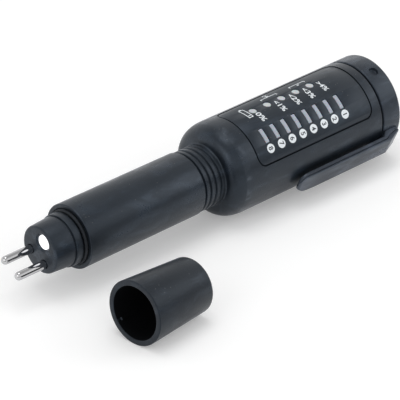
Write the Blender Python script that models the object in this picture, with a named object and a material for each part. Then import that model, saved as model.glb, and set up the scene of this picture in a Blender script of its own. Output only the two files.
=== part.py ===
"""Brake fluid tester with its loose probe cap, built as an assembly of separate pieces.

The tester lies on a bench on its round head, with the display turned towards the viewer.
Its cap lies beside it on its side, with the mouth facing the same way as the probe pins.
Each piece is modelled in the frame of the thing that carries it: +X runs from the probe
end to the end cap, +Z points out through the middle of the display, and the pocket clip
stands out along -Y. Everything is in metres.
"""

from math import acos, asin, atan, cos, pi, radians, sin, sqrt

import bmesh
import bpy
from mathutils import Euler, Vector

mm = 0.001

# Fits that every piece shares
touch_gap = 0.3 * mm          # left between two pieces that rest on each other
cut_overrun = 1.0 * mm        # how far a cutter reaches past the face that it opens
weld_distance = 0.002 * mm    # points closer than this are one point
fine_facets = 48              # sides of the large turned pieces
nose_facets = 32              # sides of the probe head
small_facets = 24             # sides of the small turned pieces
pin_facets = 16
hole_facets = 12
seal_sides = 6                # sides of a seal ring's section
dome_steps = 4                # steps in a pin's round tip and in the lamp's dome

# How the tester and its cap lie
display_turn = radians(24)    # the display leans this far from straight up, towards -Y
cap_mouth_back = 9.3 * mm     # the loose cap's mouth lies this far in front of the barrel rim
cap_mouth_aside = 42.0 * mm   # and this far beside the tester's axis
cap_turn = radians(5)         # the loose cap's closed end leans this much to the tester

# The two battery cells, size AAA; the head is built round them
cell_radius = 5.25 * mm
cell_length = 44.5 * mm
cell_nub_radius = 1.9 * mm
cell_nub_height = 0.9 * mm
cell_edge = 0.45 * mm
cell_gap = 0.7 * mm           # between the two cells
cell_drop = 2.6 * mm          # the cells' axes lie this far below the tester's axis
front_contact_space = 4.0 * mm
rear_contact_space = 3.4 * mm # between the cells' ends and the head's rear edge

# Barrel and neck of the housing, measured from the barrel's rim
neck_radius = 11.1 * mm
barrel_flare = 0.1 * mm       # the rim is this much wider in radius than the neck
barrel_wall = 2.7 * mm
barrel_length = 49.6 * mm     # from the rim to the first grip groove
rim_chamfer = 0.35 * mm
mouth_wall = 1.0 * mm         # left round the wide mouth that takes the probe head's flange
mouth_depth = 3.0 * mm
groove_count = 4
groove_pitch = 2.3 * mm
groove_width = 1.2 * mm
groove_depth = 0.5 * mm
land_step = 0.3 * mm          # the lands between the grooves are this much lower than the barrel
neck_land = 0.4 * mm          # plain neck behind the last groove
groove_slope_share = 0.25     # share of a groove's width that each sloping side takes

# Head of the housing
shoulder_length = 8.0 * mm
shoulder_steps = 8
shoulder_power = 2.45         # 2 would be a plain quarter of an ellipse; more is fuller
head_wall = 3.05 * mm
head_edge_chamfer = 0.3 * mm
bore_inset = 3.8 * mm         # the head's bore starts this far behind the shoulder
bore_cone_length = 7.0 * mm
spigot_step = 1.6 * mm        # the spigot is this much smaller in radius than the head
spigot_length = 5.6 * mm
spigot_chamfer = 0.3 * mm

# Seal ring on the spigot
seal_groove_offset = 2.0 * mm
seal_groove_width = 1.2 * mm
seal_groove_depth = 0.8 * mm
seal_side_play = 0.1 * mm

# Display panel, a curved plate let into the head
panel_front_margin = 3.1 * mm # head left bare in front of the plate
panel_rear_margin = 4.3 * mm  # and behind it
panel_width_share = 0.7394    # the plate's half width, as a share of the head's radius
panel_corner = 2.6 * mm
panel_thickness = 0.9 * mm
panel_sink = 0.15 * mm        # the plate's face lies this far below the head's surface
panel_strips = 12
panel_corner_steps = 4
panel_ledge = 3.0 * mm        # the ledge in the housing that carries the plate

# Bar windows and round windows in the panel
display_shift = 2.68 * mm     # the windows' middle lies this far in front of the plate's middle
bar_count = 8
bar_pitch_share = 0.0941      # as a share of the plate's length
bar_slot_width = 1.9 * mm
bar_length_share = 0.3212     # a bar window's length, as a share of the head's radius
bar_centre_angle = radians(15.5)
dot_count = 5
dot_pitch_share = 0.1257      # as a share of the plate's length
dot_window_radius = 1.45 * mm
dot_centre_angle = radians(-21.4)
window_play = 0.25 * mm       # between a window's wall and its light guide
guide_sink = 0.15 * mm        # the guides end this far below the panel's face

# Display board, its lamps and its light guides
board_clearance = 3.75 * mm   # between the cells and the board's lower face
board_thickness = 1.2 * mm
board_grip = 0.8 * mm         # how far the board reaches into the holder's side slots
board_front_margin = 0.5 * mm # board left in front of the light guides
board_rear_margin = 1.5 * mm  # between the board's and the plate's rear ends
lamp_height = 1.0 * mm
lamp_length = 3.2 * mm
lamp_width = 1.6 * mm
lamp_crown = 0.3 * mm
guide_web_height = 1.2 * mm
guide_foot_width = 1.6 * mm
guide_foot_offset = 3.4 * mm
dot_web_width = 1.6 * mm      # narrow enough to stand between the holder's rails
chip_size = 7.0 * mm
chip_height = 1.3 * mm
chip_chamfer = 0.5 * mm

# Battery holder, a cradle that also carries the display board
holder_least_wall = 1.88 * mm # outside the cells, where the cradle is thinnest
holder_front_gap = 4.6 * mm   # between the start of the head's bore and the cradle
holder_short = 2.1 * mm       # the cells stand out of the cradle this far at the rear
holder_wall = 1.5 * mm
holder_rail_step = 1.6 * mm   # the side rails stand this far outside the cells' axes
holder_lip = 1.6 * mm         # the rails stand this far over the board
holder_wall_drop = 1.2 * mm   # the front wall ends this far below the board
holder_ridge_depth = 2.6 * mm
holder_arc_steps = 9
trough_steps = 9

# Battery contacts
spring_wire_radius = 0.25 * mm
spring_base_share = 0.705     # radii of the spring, as shares of the cell's radius
spring_tip_share = 0.4
spring_turns = 3
spring_points_per_turn = 12
strip_thickness = 0.4 * mm
strip_width = 5.0 * mm
strip_foot = 3.4 * mm

# Probe head with its pins and lamp
nose_length = 12.3 * mm
nose_taper_step = 0.52 * mm   # the face is this much smaller in radius than the base
nose_base_step = 0.33 * mm    # the base is this much smaller in radius than the collar
nose_edge = 0.7 * mm
nose_edge_steps = 4
collar_front = 4.1 * mm       # in front of the rim
collar_rear = 2.3 * mm
collar_step = 1.15 * mm       # the collar is this much smaller in radius than the mouth
collar_chamfer = 0.3 * mm
nose_neck_step = 2.0 * mm     # the neck behind the collar is this much smaller than the mouth
nose_flange_thickness = 0.9 * mm
nose_spigot_end = 12.0 * mm
nose_spigot_wall = 0.6 * mm
nose_block_depth = 7.0 * mm   # solid front of the probe head that holds the pins
nose_seal_section = 0.65 * mm
pin_radius = 1.15 * mm
pin_reach = 11.0 * mm         # beyond the face
pin_side_share = 0.439        # places of the pins, as shares of the face's radius
pin_drop_share = 0.39
pin_rear = 0.9 * mm
light_radius_share = 0.305    # the lamp's radius, as a share of the face's radius
light_flange_step = 0.45 * mm
light_flange_thickness = 1.0 * mm
light_side_gap = 0.95 * mm    # between the lamp's flange and the probe head's bore
light_recess = 0.25 * mm
light_dome_share = 0.15       # the dome's height, as a share of the lamp's radius
light_bezel = 0.5 * mm
probe_board_thickness = 1.0 * mm
wire_radius = 0.5 * mm
wire_bend_length = 20.0 * mm  # the wires rise to the display board over this length
wire_bend_steps = 9
lamp_lead_share = 0.16        # places of the wires' ends, as shares of the face's radius
pin_wire_end_share = 0.51

# End cap with its index dimple, switch board and button
end_gap = 0.4 * mm            # the dark line between head and end cap
end_length = 8.3 * mm
end_edge = 0.9 * mm
end_edge_steps = 4
end_wall = 1.6 * mm
skirt_play = 0.3 * mm
dimple_radius = 1.85 * mm
dimple_depth = 0.8 * mm
dimple_offset = 4.3 * mm
button_share = 0.3333         # the button's radius, as a share of the head's radius
button_play = 0.3 * mm
button_sink = 0.5 * mm
button_travel = 0.8 * mm
button_dish = 0.4 * mm
button_flange_step = 1.2 * mm
button_flange_thickness = 1.0 * mm
switch_board_play = 1.0 * mm  # between the switch board and the head's bore
switch_board_front = 0.7 * mm
switch_board_thickness = 1.0 * mm
switch_size = 6.0 * mm
switch_height = 2.0 * mm
switch_stem_radius = 1.2 * mm
boss_radius = 2.2 * mm
boss_angle = radians(45)
screw_radius = 0.8 * mm
screw_length = 3.6 * mm
screw_head_radius = 1.6 * mm
screw_head_height = 1.0 * mm

# Pocket clip
clip_length = 48.1 * mm
clip_gap = 1.3 * mm           # between the clip and the head
clip_thickness = 2.1 * mm
clip_width = 8.0 * mm
clip_root_length = 6.4 * mm
clip_slope = 5.6 * mm         # length of the slope at the clip's rear
clip_rear_height = 0.9 * mm   # height of the clip's rear end over the end cap
clip_edge = 0.5 * mm          # bevel along the clip's outer edges
tip_steps = 5

# Loose probe cap
cap_mouth_step = 0.1 * mm     # the cap's mouth is this much smaller in radius than the rim
cap_end_step = 1.6 * mm       # and its closed end this much smaller than its mouth
cap_play = 0.1 * mm           # between the cap's mouth and the probe head's collar
cap_pin_play = 1.1 * mm       # between the pins' tips and the closed end
cap_lead = 4.6 * mm           # the cavity is straight this far in, to pass the collar
cap_end_wall = 2.35 * mm
cap_mouth_chamfer = 0.3 * mm
cap_edge = 1.3 * mm
cap_edge_steps = 4
cap_rib_count = 3
cap_rib_grip = 0.25 * mm      # how far the ribs reach inside the collar's outline
cap_rib_turn = radians(-8)
cap_rib_width = 1.0 * mm
cap_rib_start = 1.2 * mm
cap_rib_length = 7.0 * mm

# Radii of the head, worked out from the cells to the outside
cell_spacing = 2 * cell_radius + cell_gap
cell_reach = sqrt((cell_spacing / 2) ** 2 + cell_drop ** 2) + cell_radius
holder_radius = cell_reach + holder_least_wall
head_bore_radius = holder_radius + touch_gap
head_radius = head_bore_radius + head_wall
spigot_radius = head_radius - spigot_step
skirt_inner_radius = spigot_radius + skirt_play
panel_face_radius = head_radius - panel_sink
panel_back_radius = panel_face_radius - panel_thickness
recess_floor_radius = panel_back_radius - touch_gap
guide_top_radius = panel_face_radius - guide_sink

# Radii of the barrel and of the probe head that fits it
rim_radius = neck_radius + barrel_flare
mouth_radius = rim_radius - mouth_wall
barrel_bore_radius = neck_radius - barrel_wall
land_radius = neck_radius - land_step
collar_radius = mouth_radius - collar_step
nose_base_radius = collar_radius - nose_base_step
nose_face_radius = nose_base_radius - nose_taper_step
nose_neck_radius = mouth_radius - nose_neck_step
nose_flange_radius = mouth_radius - touch_gap
nose_spigot_radius = barrel_bore_radius - touch_gap
nose_bore_radius = nose_spigot_radius - nose_spigot_wall
probe_board_radius = nose_bore_radius - touch_gap
pin_side = nose_face_radius * pin_side_share
pin_drop = nose_face_radius * pin_drop_share
light_radius = nose_face_radius * light_radius_share
light_flange_radius = light_radius + light_flange_step
light_offset = nose_bore_radius - light_side_gap - light_flange_radius

# Places along the tester, measured from the barrel's rim
neck_rear = barrel_length + groove_count * groove_pitch + neck_land
shoulder_rear = neck_rear + shoulder_length
head_bore_front = shoulder_rear + bore_inset
bore_cone_front = head_bore_front - bore_cone_length
holder_front = head_bore_front + holder_front_gap
cell_front = holder_front + front_contact_space
cell_rear = cell_front + cell_length
holder_rear = cell_rear - holder_short
head_rear = cell_rear + rear_contact_space
end_mouth = head_rear + end_gap
panel_front = shoulder_rear + panel_front_margin
panel_rear = head_rear - panel_rear_margin
panel_length = panel_rear - panel_front
panel_half_width = head_radius * panel_width_share

# Windows, and the lamps and guides under them
bar_slot_length = head_radius * bar_length_share
bar_pitch = panel_length * bar_pitch_share
dot_pitch = panel_length * dot_pitch_share
bar_y = -head_radius * sin(bar_centre_angle)
dot_y = -head_radius * sin(dot_centre_angle)
display_middle = (panel_front + panel_rear) / 2 - display_shift
bar_rear_x = display_middle + (bar_count - 1) * bar_pitch / 2
dot_rear_x = display_middle + (dot_count - 1) * dot_pitch / 2
bar_places = [bar_rear_x - index * bar_pitch for index in range(bar_count)]
dot_places = [dot_rear_x - index * dot_pitch for index in range(dot_count)]
board_low = cell_radius - cell_drop + board_clearance
board_top = board_low + board_thickness
board_front = bar_places[-1] - guide_foot_offset - board_front_margin
board_rear = panel_rear - board_rear_margin
lamp_low = board_top + touch_gap
lamp_top = lamp_low + lamp_height

# Battery holder and contacts
holder_rail_inner = cell_spacing / 2 + holder_rail_step
board_half_width = holder_rail_inner + board_grip
holder_top = board_top + holder_lip
holder_wall_top = board_low - holder_wall_drop
spring_base_radius = cell_radius * spring_base_share
spring_tip_radius = cell_radius * spring_tip_share

# End cap, button and clip
button_radius = head_radius * button_share
button_flange_radius = button_radius + button_flange_step
switch_board_radius = head_bore_radius - switch_board_play
switch_face = switch_board_front + switch_board_thickness
boss_reach = switch_board_radius - boss_radius
boss_y = boss_reach * sin(boss_angle)
boss_z = boss_reach * cos(boss_angle)
button_front = end_length - end_wall - touch_gap - button_flange_thickness
switch_stem_top = button_front - button_travel - touch_gap
clip_inner = head_radius + clip_gap
clip_outer = clip_inner + clip_thickness
clip_root_seat = head_radius + touch_gap

# Loose cap
cap_mouth_radius = rim_radius - cap_mouth_step
cap_end_radius = cap_mouth_radius - cap_end_step
cap_bore_radius = collar_radius + cap_play
cap_end_bore_radius = cap_bore_radius - cap_end_step
cap_depth = nose_length + pin_reach + cap_pin_play
cap_length = cap_depth + cap_end_wall
cap_taper = cap_end_step / cap_length

# How it all lies on the bench
axis_height = head_radius * cos(pi / fine_facets)
ground_angle = pi - display_turn


def remove_old_objects():
    for old in list(bpy.data.objects):
        bpy.data.objects.remove(old, do_unlink=True)


def finish_colour(name, colour, roughness, metallic=0.0):
    look = bpy.data.materials.new(name)
    look.use_nodes = True
    shader = look.node_tree.nodes["Principled BSDF"]
    shader.inputs["Base Color"].default_value = (*colour, 1.0)
    shader.inputs["Roughness"].default_value = roughness
    shader.inputs["Metallic"].default_value = metallic
    return look


def pivot(name, parent=None, place=(0, 0, 0), turn=(0, 0, 0)):
    """An empty that carries pieces; a moving piece's empty lies on its joint's axis."""
    empty = bpy.data.objects.new(name, None)
    bpy.context.scene.collection.objects.link(empty)
    empty.parent = parent
    empty.location = place
    empty.rotation_euler = turn
    return empty


def as_object(name, shape, look, carrier):
    bmesh.ops.remove_doubles(shape, verts=shape.verts, dist=weld_distance)
    bmesh.ops.recalc_face_normals(shape, faces=shape.faces)
    mesh = bpy.data.meshes.new(name)
    shape.to_mesh(mesh)
    shape.free()
    mesh.shade_smooth()
    mesh.set_sharp_from_angle(angle=radians(35))
    piece = bpy.data.objects.new(name, mesh)
    bpy.context.scene.collection.objects.link(piece)
    piece.parent = carrier
    if look:
        mesh.materials.append(look)
    return piece


def add_turned(shape, outline, sides, centre=(0, 0), start=0.0, closed=True):
    """Spins an outline of (x, radius) points about a line along X through centre (y, z)."""
    before = set(shape.verts)
    points = []
    for x, radius in outline:
        place = (x, -radius * sin(start), radius * cos(start))
        points.append(shape.verts.new(place))
    pairs = list(zip(points, points[1:]))
    if closed:
        pairs.append((points[-1], points[0]))
    edges = [shape.edges.new(pair) for pair in pairs]
    bmesh.ops.spin(
        shape, geom=points + edges, cent=(0, 0, 0), axis=(1, 0, 0),
        angle=2 * pi, steps=sides, use_merge=True)
    fresh = [item for item in shape.verts if item not in before]
    bmesh.ops.translate(shape, verts=fresh, vec=(0, centre[0], centre[1]))


def turned(name, outline, look, carrier, sides=fine_facets, centre=(0, 0), start=0.0, closed=True):
    shape = bmesh.new()
    add_turned(shape, outline, sides, centre, start, closed)
    return as_object(name, shape, look, carrier)


def add_prism(shape, outline, axis, low, high):
    """Extrudes a flat outline from low to high along the named axis."""
    order = {"X": lambda a, b, c: (c, a, b), "Y": lambda a, b, c: (a, c, b), "Z": lambda a, b, c: (a, b, c)}
    corners = [shape.verts.new(order[axis](a, b, low)) for a, b in outline]
    face = shape.faces.new(corners)
    grown = bmesh.ops.extrude_face_region(shape, geom=[face])
    far = [item for item in grown["geom"] if isinstance(item, bmesh.types.BMVert)]
    shift = Vector(order[axis](0, 0, high - low))
    bmesh.ops.translate(shape, verts=far, vec=shift)
    return far


def prism(name, outline, axis, low, high, look, carrier):
    shape = bmesh.new()
    add_prism(shape, outline, axis, low, high)
    return as_object(name, shape, look, carrier)


def arc(centre_a, centre_b, radius, first, last, steps):
    """Points on an arc in a plane, from the first angle to the last, ends included."""
    angles = [first + (last - first) * index / steps for index in range(steps + 1)]
    return [(centre_a + radius * cos(angle), centre_b + radius * sin(angle)) for angle in angles]


def box_outline(a_low, a_high, b_low, b_high):
    return [(a_low, b_low), (a_high, b_low), (a_high, b_high), (a_low, b_high)]


def circle_outline(centre_a, centre_b, radius, sides):
    return arc(centre_a, centre_b, radius, 0.0, 2 * pi, sides)[:-1]


def rounded_outline(a_low, a_high, b_low, b_high, corner, steps):
    points = arc(a_high - corner, b_high - corner, corner, 0.0, pi / 2, steps)
    points += arc(a_low + corner, b_high - corner, corner, pi / 2, pi, steps)
    points += arc(a_low + corner, b_low + corner, corner, pi, 3 * pi / 2, steps)
    points += arc(a_high - corner, b_low + corner, corner, 3 * pi / 2, 2 * pi, steps)
    return points


def combine(target, tool, operation):
    tool.hide_render = True
    tool.display_type = "WIRE"
    step = target.modifiers.new(tool.name, "BOOLEAN")
    step.operation = operation
    step.solver = "EXACT"
    step.object = tool


def curved_plate(name, grow, low_radius, high_radius, look, carrier):
    """A plate with the panel's rounded outline, bent round the tester's axis."""
    shape = bmesh.new()
    outline = rounded_outline(
        panel_front - grow, panel_rear + grow,
        -panel_half_width - grow, panel_half_width + grow, panel_corner + grow, panel_corner_steps)
    shape.faces.new([shape.verts.new((x, y, 0)) for x, y in outline])
    widest = asin(panel_half_width / head_radius)
    for index in range(1, panel_strips):
        angle = widest * (2 * index / panel_strips - 1)
        cut_place = (0, head_radius * sin(angle), 0)
        everything = shape.verts[:] + shape.edges[:] + shape.faces[:]
        bmesh.ops.bisect_plane(shape, geom=everything, plane_co=cut_place, plane_no=(0, 1, 0))
    lower = shape.verts[:]
    grown = bmesh.ops.extrude_face_region(shape, geom=shape.faces[:])
    upper = [item for item in grown["geom"] if isinstance(item, bmesh.types.BMVert)]
    for item in lower:
        item.co.z = sqrt(low_radius ** 2 - item.co.y ** 2)
    for item in upper:
        item.co.z = sqrt(high_radius ** 2 - item.co.y ** 2)
    return as_object(name, shape, look, carrier)


def tube(name, route, radius, look, carrier):
    """A wire along a list of points, with closed ends."""
    curve = bpy.data.curves.new(name, "CURVE")
    curve.dimensions = "3D"
    curve.bevel_depth = radius
    curve.bevel_resolution = 1
    curve.use_fill_caps = True
    line = curve.splines.new("POLY")
    line.points.add(len(route) - 1)
    for point, place in zip(line.points, route):
        point.co = (*place, 1.0)
    piece = bpy.data.objects.new(name, curve)
    bpy.context.scene.collection.objects.link(piece)
    piece.parent = carrier
    curve.materials.append(look)
    return piece


def housing_outline():
    """The moulded housing's section, from the rim along the outside and back inside."""
    points = [(0.0, mouth_radius + rim_chamfer / 2), (0.0, rim_radius - rim_chamfer)]
    points.append((rim_chamfer, rim_radius))
    for index in range(groove_count):
        edge = barrel_length + index * groove_pitch
        bottom = land_radius - groove_depth
        points.append((edge, land_radius if index else neck_radius))
        points.append((edge + groove_width * groove_slope_share, bottom))
        points.append((edge + groove_width * (1 - groove_slope_share), bottom))
        points.append((edge + groove_width, land_radius))
    points.append((neck_rear, land_radius))
    rise = head_radius - land_radius
    for index in range(1, shoulder_steps + 1):
        angle = pi / 2 * index / shoulder_steps
        back = 1 - max(0.0, cos(angle)) ** (2 / shoulder_power)
        out = sin(angle) ** (2 / shoulder_power)
        points.append((neck_rear + shoulder_length * back, land_radius + rise * out))
    points.append((head_rear - head_edge_chamfer, head_radius))
    points.append((head_rear, head_radius - head_edge_chamfer))
    points.append((head_rear, spigot_radius))
    groove = head_rear + seal_groove_offset
    points.append((groove, spigot_radius))
    points.append((groove, spigot_radius - seal_groove_depth))
    points.append((groove + seal_groove_width, spigot_radius - seal_groove_depth))
    points.append((groove + seal_groove_width, spigot_radius))
    spigot_end = head_rear + spigot_length
    points.append((spigot_end - spigot_chamfer, spigot_radius))
    points.append((spigot_end, spigot_radius - spigot_chamfer))
    points.append((spigot_end, head_bore_radius))
    points.append((head_bore_front, head_bore_radius))
    points.append((bore_cone_front, barrel_bore_radius))
    points.append((mouth_depth, barrel_bore_radius))
    points.append((mouth_depth, mouth_radius))
    points.append((rim_chamfer, mouth_radius))
    return points


def make_housing(tester, looks):
    start = ground_angle - pi / fine_facets
    housing = turned("housing", housing_outline(), looks["shell"], tester, start=start)
    recess = curved_plate(
        "panel_recess_cutter", touch_gap, recess_floor_radius, head_radius + cut_overrun, None, tester)
    combine(housing, recess, "DIFFERENCE")
    window = prism(
        "panel_window_cutter",
        box_outline(
            panel_front + panel_ledge, panel_rear - panel_ledge,
            -panel_half_width + panel_ledge, panel_half_width - panel_ledge),
        "Z", holder_top, head_radius + cut_overrun, None, tester)
    combine(housing, window, "DIFFERENCE")
    return housing


def make_display_panel(tester, looks):
    panel = curved_plate("display_panel", 0.0, panel_back_radius, panel_face_radius, looks["panel"], tester)
    shape = bmesh.new()
    low = panel_back_radius * cos(asin(panel_half_width / head_radius))
    high = head_radius + cut_overrun
    for x in bar_places:
        outline = box_outline(
            x - bar_slot_width / 2, x + bar_slot_width / 2,
            bar_y - bar_slot_length / 2, bar_y + bar_slot_length / 2)
        add_prism(shape, outline, "Z", low, high)
    for x in dot_places:
        add_prism(shape, circle_outline(x, dot_y, dot_window_radius, small_facets), "Z", low, high)
    cutter = as_object("panel_window_cutters", shape, None, tester)
    combine(panel, cutter, "DIFFERENCE")
    return panel


def guide_crown(name, tester):
    """The round block that gives the light guides their curved tops."""
    outline = [
        (panel_front, 0.0), (panel_front, guide_top_radius),
        (panel_rear, guide_top_radius), (panel_rear, 0.0)]
    return turned(name, outline, None, tester, closed=False)


def make_bar_light_guide(tester, looks):
    """A clear comb: one tooth under each bar window, a web, and a foot at each end."""
    half_tooth = bar_slot_width / 2 - window_play
    web_low = lamp_top + touch_gap
    web_high = web_low + guide_web_height
    front = bar_places[-1] - guide_foot_offset
    rear = bar_places[0] + guide_foot_offset
    outline = [(front, lamp_low), (front, web_high)]
    for x in reversed(bar_places):
        outline += [
            (x - half_tooth, web_high), (x - half_tooth, head_radius),
            (x + half_tooth, head_radius), (x + half_tooth, web_high)]
    outline += [
        (rear, web_high), (rear, lamp_low), (rear - guide_foot_width, lamp_low),
        (rear - guide_foot_width, web_low), (front + guide_foot_width, web_low),
        (front + guide_foot_width, lamp_low)]
    half_length = bar_slot_length / 2 - window_play
    guide = prism(
        "bar_light_guide", outline, "Y", bar_y - half_length, bar_y + half_length, looks["clear"], tester)
    combine(guide, guide_crown("bar_guide_crown", tester), "INTERSECT")
    return guide


def make_dot_light_guide(tester, looks):
    """A clear web with a round peg under each round window and a foot at each end."""
    peg_radius = dot_window_radius - window_play
    web_low = lamp_top + touch_gap
    web_high = web_low + guide_web_height
    front = dot_places[-1] - guide_foot_offset
    rear = dot_places[0] + guide_foot_offset
    outline = [
        (front, lamp_low), (front, web_high), (rear, web_high), (rear, lamp_low),
        (rear - guide_foot_width, lamp_low), (rear - guide_foot_width, web_low),
        (front + guide_foot_width, web_low), (front + guide_foot_width, lamp_low)]
    half = dot_web_width / 2
    guide = prism("dot_light_guide", outline, "Y", dot_y - half, dot_y + half, looks["clear"], tester)
    shape = bmesh.new()
    for x in dot_places:
        outline = circle_outline(x, dot_y, peg_radius, small_facets)
        add_prism(shape, outline, "Z", web_low + guide_web_height / 2, head_radius)
    pegs = as_object("dot_guide_pegs", shape, None, tester)
    combine(guide, pegs, "UNION")
    combine(guide, guide_crown("dot_guide_crown", tester), "INTERSECT")
    return guide


def make_display_board(tester, looks):
    prism(
        "display_board",
        box_outline(board_front, board_rear, -board_half_width, board_half_width),
        "Z", board_low, board_top, looks["board"], tester)
    for index, x in enumerate(bar_places):
        make_lamp("bar_lamp_%d" % (index + 1), x, bar_y, tester, looks)
    for index, x in enumerate(dot_places):
        make_lamp("dot_lamp_%d" % (index + 1), x, dot_y, tester, looks)
    shape = bmesh.new()
    half = chip_size / 2
    top = board_low - touch_gap
    chip_x = (board_front + board_rear) / 2
    far = add_prism(
        shape, box_outline(chip_x - half, chip_x + half, -half, half), "Z", top, top - chip_height)
    for corner in far:
        corner.co.x -= chip_chamfer if corner.co.x > chip_x else -chip_chamfer
        corner.co.y -= chip_chamfer if corner.co.y > 0 else -chip_chamfer
    as_object("microcontroller", shape, looks["chip"], tester)


def make_lamp(name, x, y, tester, looks):
    """One surface-mounted lamp with a narrower crown."""
    shape = bmesh.new()
    outline = box_outline(x - lamp_length / 2, x + lamp_length / 2, y - lamp_width / 2, y + lamp_width / 2)
    far = add_prism(shape, outline, "Z", lamp_low, lamp_top)
    for corner in far:
        corner.co.x -= lamp_crown if corner.co.x > x else -lamp_crown
    as_object(name, shape, looks["lamp"], tester)


def holder_half_outline():
    """One half of the cradle's section, from the middle ridge out, up and back down outside."""
    cell_y = cell_spacing / 2
    trough = cell_radius + touch_gap
    rail = holder_rail_inner
    slot_low = board_low - touch_gap
    slot_high = board_top + touch_gap
    slot_deep = board_half_width + touch_gap
    rail_angle = acos((rail - cell_y) / trough)
    ridge_angle = -pi + asin(holder_ridge_depth / trough)
    points = arc(cell_y, -cell_drop, trough, ridge_angle, rail_angle, trough_steps)
    points += [(rail, slot_low), (slot_deep, slot_low), (slot_deep, slot_high), (rail, slot_high)]
    points.append((rail, holder_top))
    top_angle = asin(holder_top / holder_radius)
    points += arc(0.0, 0.0, holder_radius, top_angle, -pi / 2, holder_arc_steps)
    return points


def make_battery_holder(tester, looks):
    half = holder_half_outline()
    outline = half + [(-y, z) for y, z in reversed(half[:-1])]
    holder = prism("battery_holder", outline, "X", holder_front, holder_rear, looks["inner"], tester)
    wall_angle = asin(holder_wall_top / holder_radius)
    wall = arc(0.0, 0.0, holder_radius, wall_angle, -pi - wall_angle, 2 * holder_arc_steps)
    wall_tool = prism(
        "holder_wall", wall, "X", holder_front - holder_wall, holder_front + touch_gap, None, tester)
    combine(holder, wall_tool, "UNION")
    return holder


def cell_outline(nub_side):
    """A cell's section from its flat end to its nub; nub_side is 1 or -1 along X."""
    body = cell_length - cell_nub_height
    points = [
        (0.0, 0.0), (0.0, cell_radius - cell_edge), (cell_edge, cell_radius), (body - cell_edge, cell_radius),
        (body, cell_radius - cell_edge), (body, cell_nub_radius), (cell_length, cell_nub_radius),
        (cell_length, 0.0)]
    if nub_side > 0:
        return [(cell_front + x, radius) for x, radius in points]
    return [(cell_front + cell_length - x, radius) for x, radius in points]


def make_cells(tester, looks):
    for name, side, nub_side in (("cell_1", -1, 1), ("cell_2", 1, -1)):
        centre = (side * cell_spacing / 2, -cell_drop)
        turned(name, cell_outline(nub_side), looks["cell"], tester, small_facets, centre, closed=False)


def spring_route(base_x, tip_x, centre_y, centre_z):
    """A cone-shaped coil from its wide base to its narrow tip, worked out turn by turn."""
    count = spring_turns * spring_points_per_turn
    route = []
    for index in range(count + 1):
        share = index / count
        angle = 2 * pi * spring_turns * share
        radius = spring_base_radius + (spring_tip_radius - spring_base_radius) * share
        x = base_x + (tip_x - base_x) * share
        route.append((x, centre_y + radius * cos(angle), centre_z + radius * sin(angle)))
    return route


def least_gap(route, wire):
    """The least clear distance between turns of a coil, measured on its points."""
    skip = spring_points_per_turn // 2
    nearest = min(
        (Vector(one) - Vector(other)).length
        for index, one in enumerate(route) for other in route[index + skip:])
    return nearest - 2 * wire


def make_contact_spring(name, wall_x, cell_x, side, carrier, looks):
    away = 1 if cell_x > wall_x else -1
    inset = away * (touch_gap + spring_wire_radius)
    route = spring_route(wall_x + inset, cell_x - inset, side * cell_spacing / 2, -cell_drop)
    tube(name, route, spring_wire_radius, looks["contact"], carrier)
    print(name, "least gap between turns in mm:", round(least_gap(route, spring_wire_radius) / mm, 2))


def make_contact_strip(name, wall_x, cell_x, side, carrier, looks):
    """A strip bent into a Z: a foot on the wall, a riser, and a pad against the cell."""
    away = 1 if cell_x > wall_x else -1
    near = wall_x + away * touch_gap
    far = cell_x - away * touch_gap
    thick = away * strip_thickness
    centre = side * cell_spacing / 2
    half = strip_foot / 2
    outline = [
        (near, centre - half - strip_thickness), (near + thick, centre - half - strip_thickness),
        (near + thick, centre), (far, centre), (far, centre + half), (far - thick, centre + half),
        (far - thick, centre + strip_thickness), (near, centre + strip_thickness)]
    prism(
        name, outline, "Z", -cell_drop - strip_width / 2, -cell_drop + strip_width / 2,
        looks["contact"], carrier)


def nose_outline():
    """The probe head's section, from its face back to its spigot and inside again."""
    face = -nose_length
    points = [(face, 0.0)]
    edge = arc(face + nose_edge, nose_face_radius - nose_edge, nose_edge, pi, pi / 2, nose_edge_steps)
    points += edge
    points += [(-collar_front, nose_base_radius), (-collar_front + collar_chamfer, collar_radius)]
    points += [(-collar_rear, collar_radius), (-collar_rear, nose_neck_radius)]
    flange_rear = mouth_depth - touch_gap
    flange_front = flange_rear - nose_flange_thickness
    points += [(flange_front, nose_neck_radius), (flange_front, nose_flange_radius)]
    points += [(flange_rear, nose_flange_radius), (flange_rear, nose_spigot_radius)]
    points += [(nose_spigot_end, nose_spigot_radius), (nose_spigot_end, nose_bore_radius)]
    points += [(face + nose_block_depth, nose_bore_radius), (face + nose_block_depth, 0.0)]
    return points


def make_probe_head(tester, looks):
    head = turned("probe_head", nose_outline(), looks["shell"], tester, nose_facets, closed=False)
    face = -nose_length
    back = face + nose_block_depth + cut_overrun
    shape = bmesh.new()
    for side in (-1, 1):
        bore = circle_outline(side * pin_side, -pin_drop, pin_radius + touch_gap, small_facets)
        add_prism(shape, bore, "X", face - cut_overrun, back)
    light_bore = light_radius + touch_gap
    outline = [
        (face - light_bezel, 0.0), (face - light_bezel, light_bore + 2 * light_bezel),
        (face + light_bezel, light_bore), (back, light_bore), (back, 0.0)]
    add_turned(shape, outline, small_facets, (0, light_offset), closed=False)
    combine(head, as_object("probe_head_bores", shape, None, tester), "DIFFERENCE")

    centre_radius = nose_neck_radius + seal_side_play + nose_seal_section
    middle = (mouth_depth - touch_gap - nose_flange_thickness - collar_rear) / 2
    ring = circle_outline(middle, centre_radius, nose_seal_section, seal_sides)
    turned("probe_seal", ring, looks["rubber"], tester)


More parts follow.
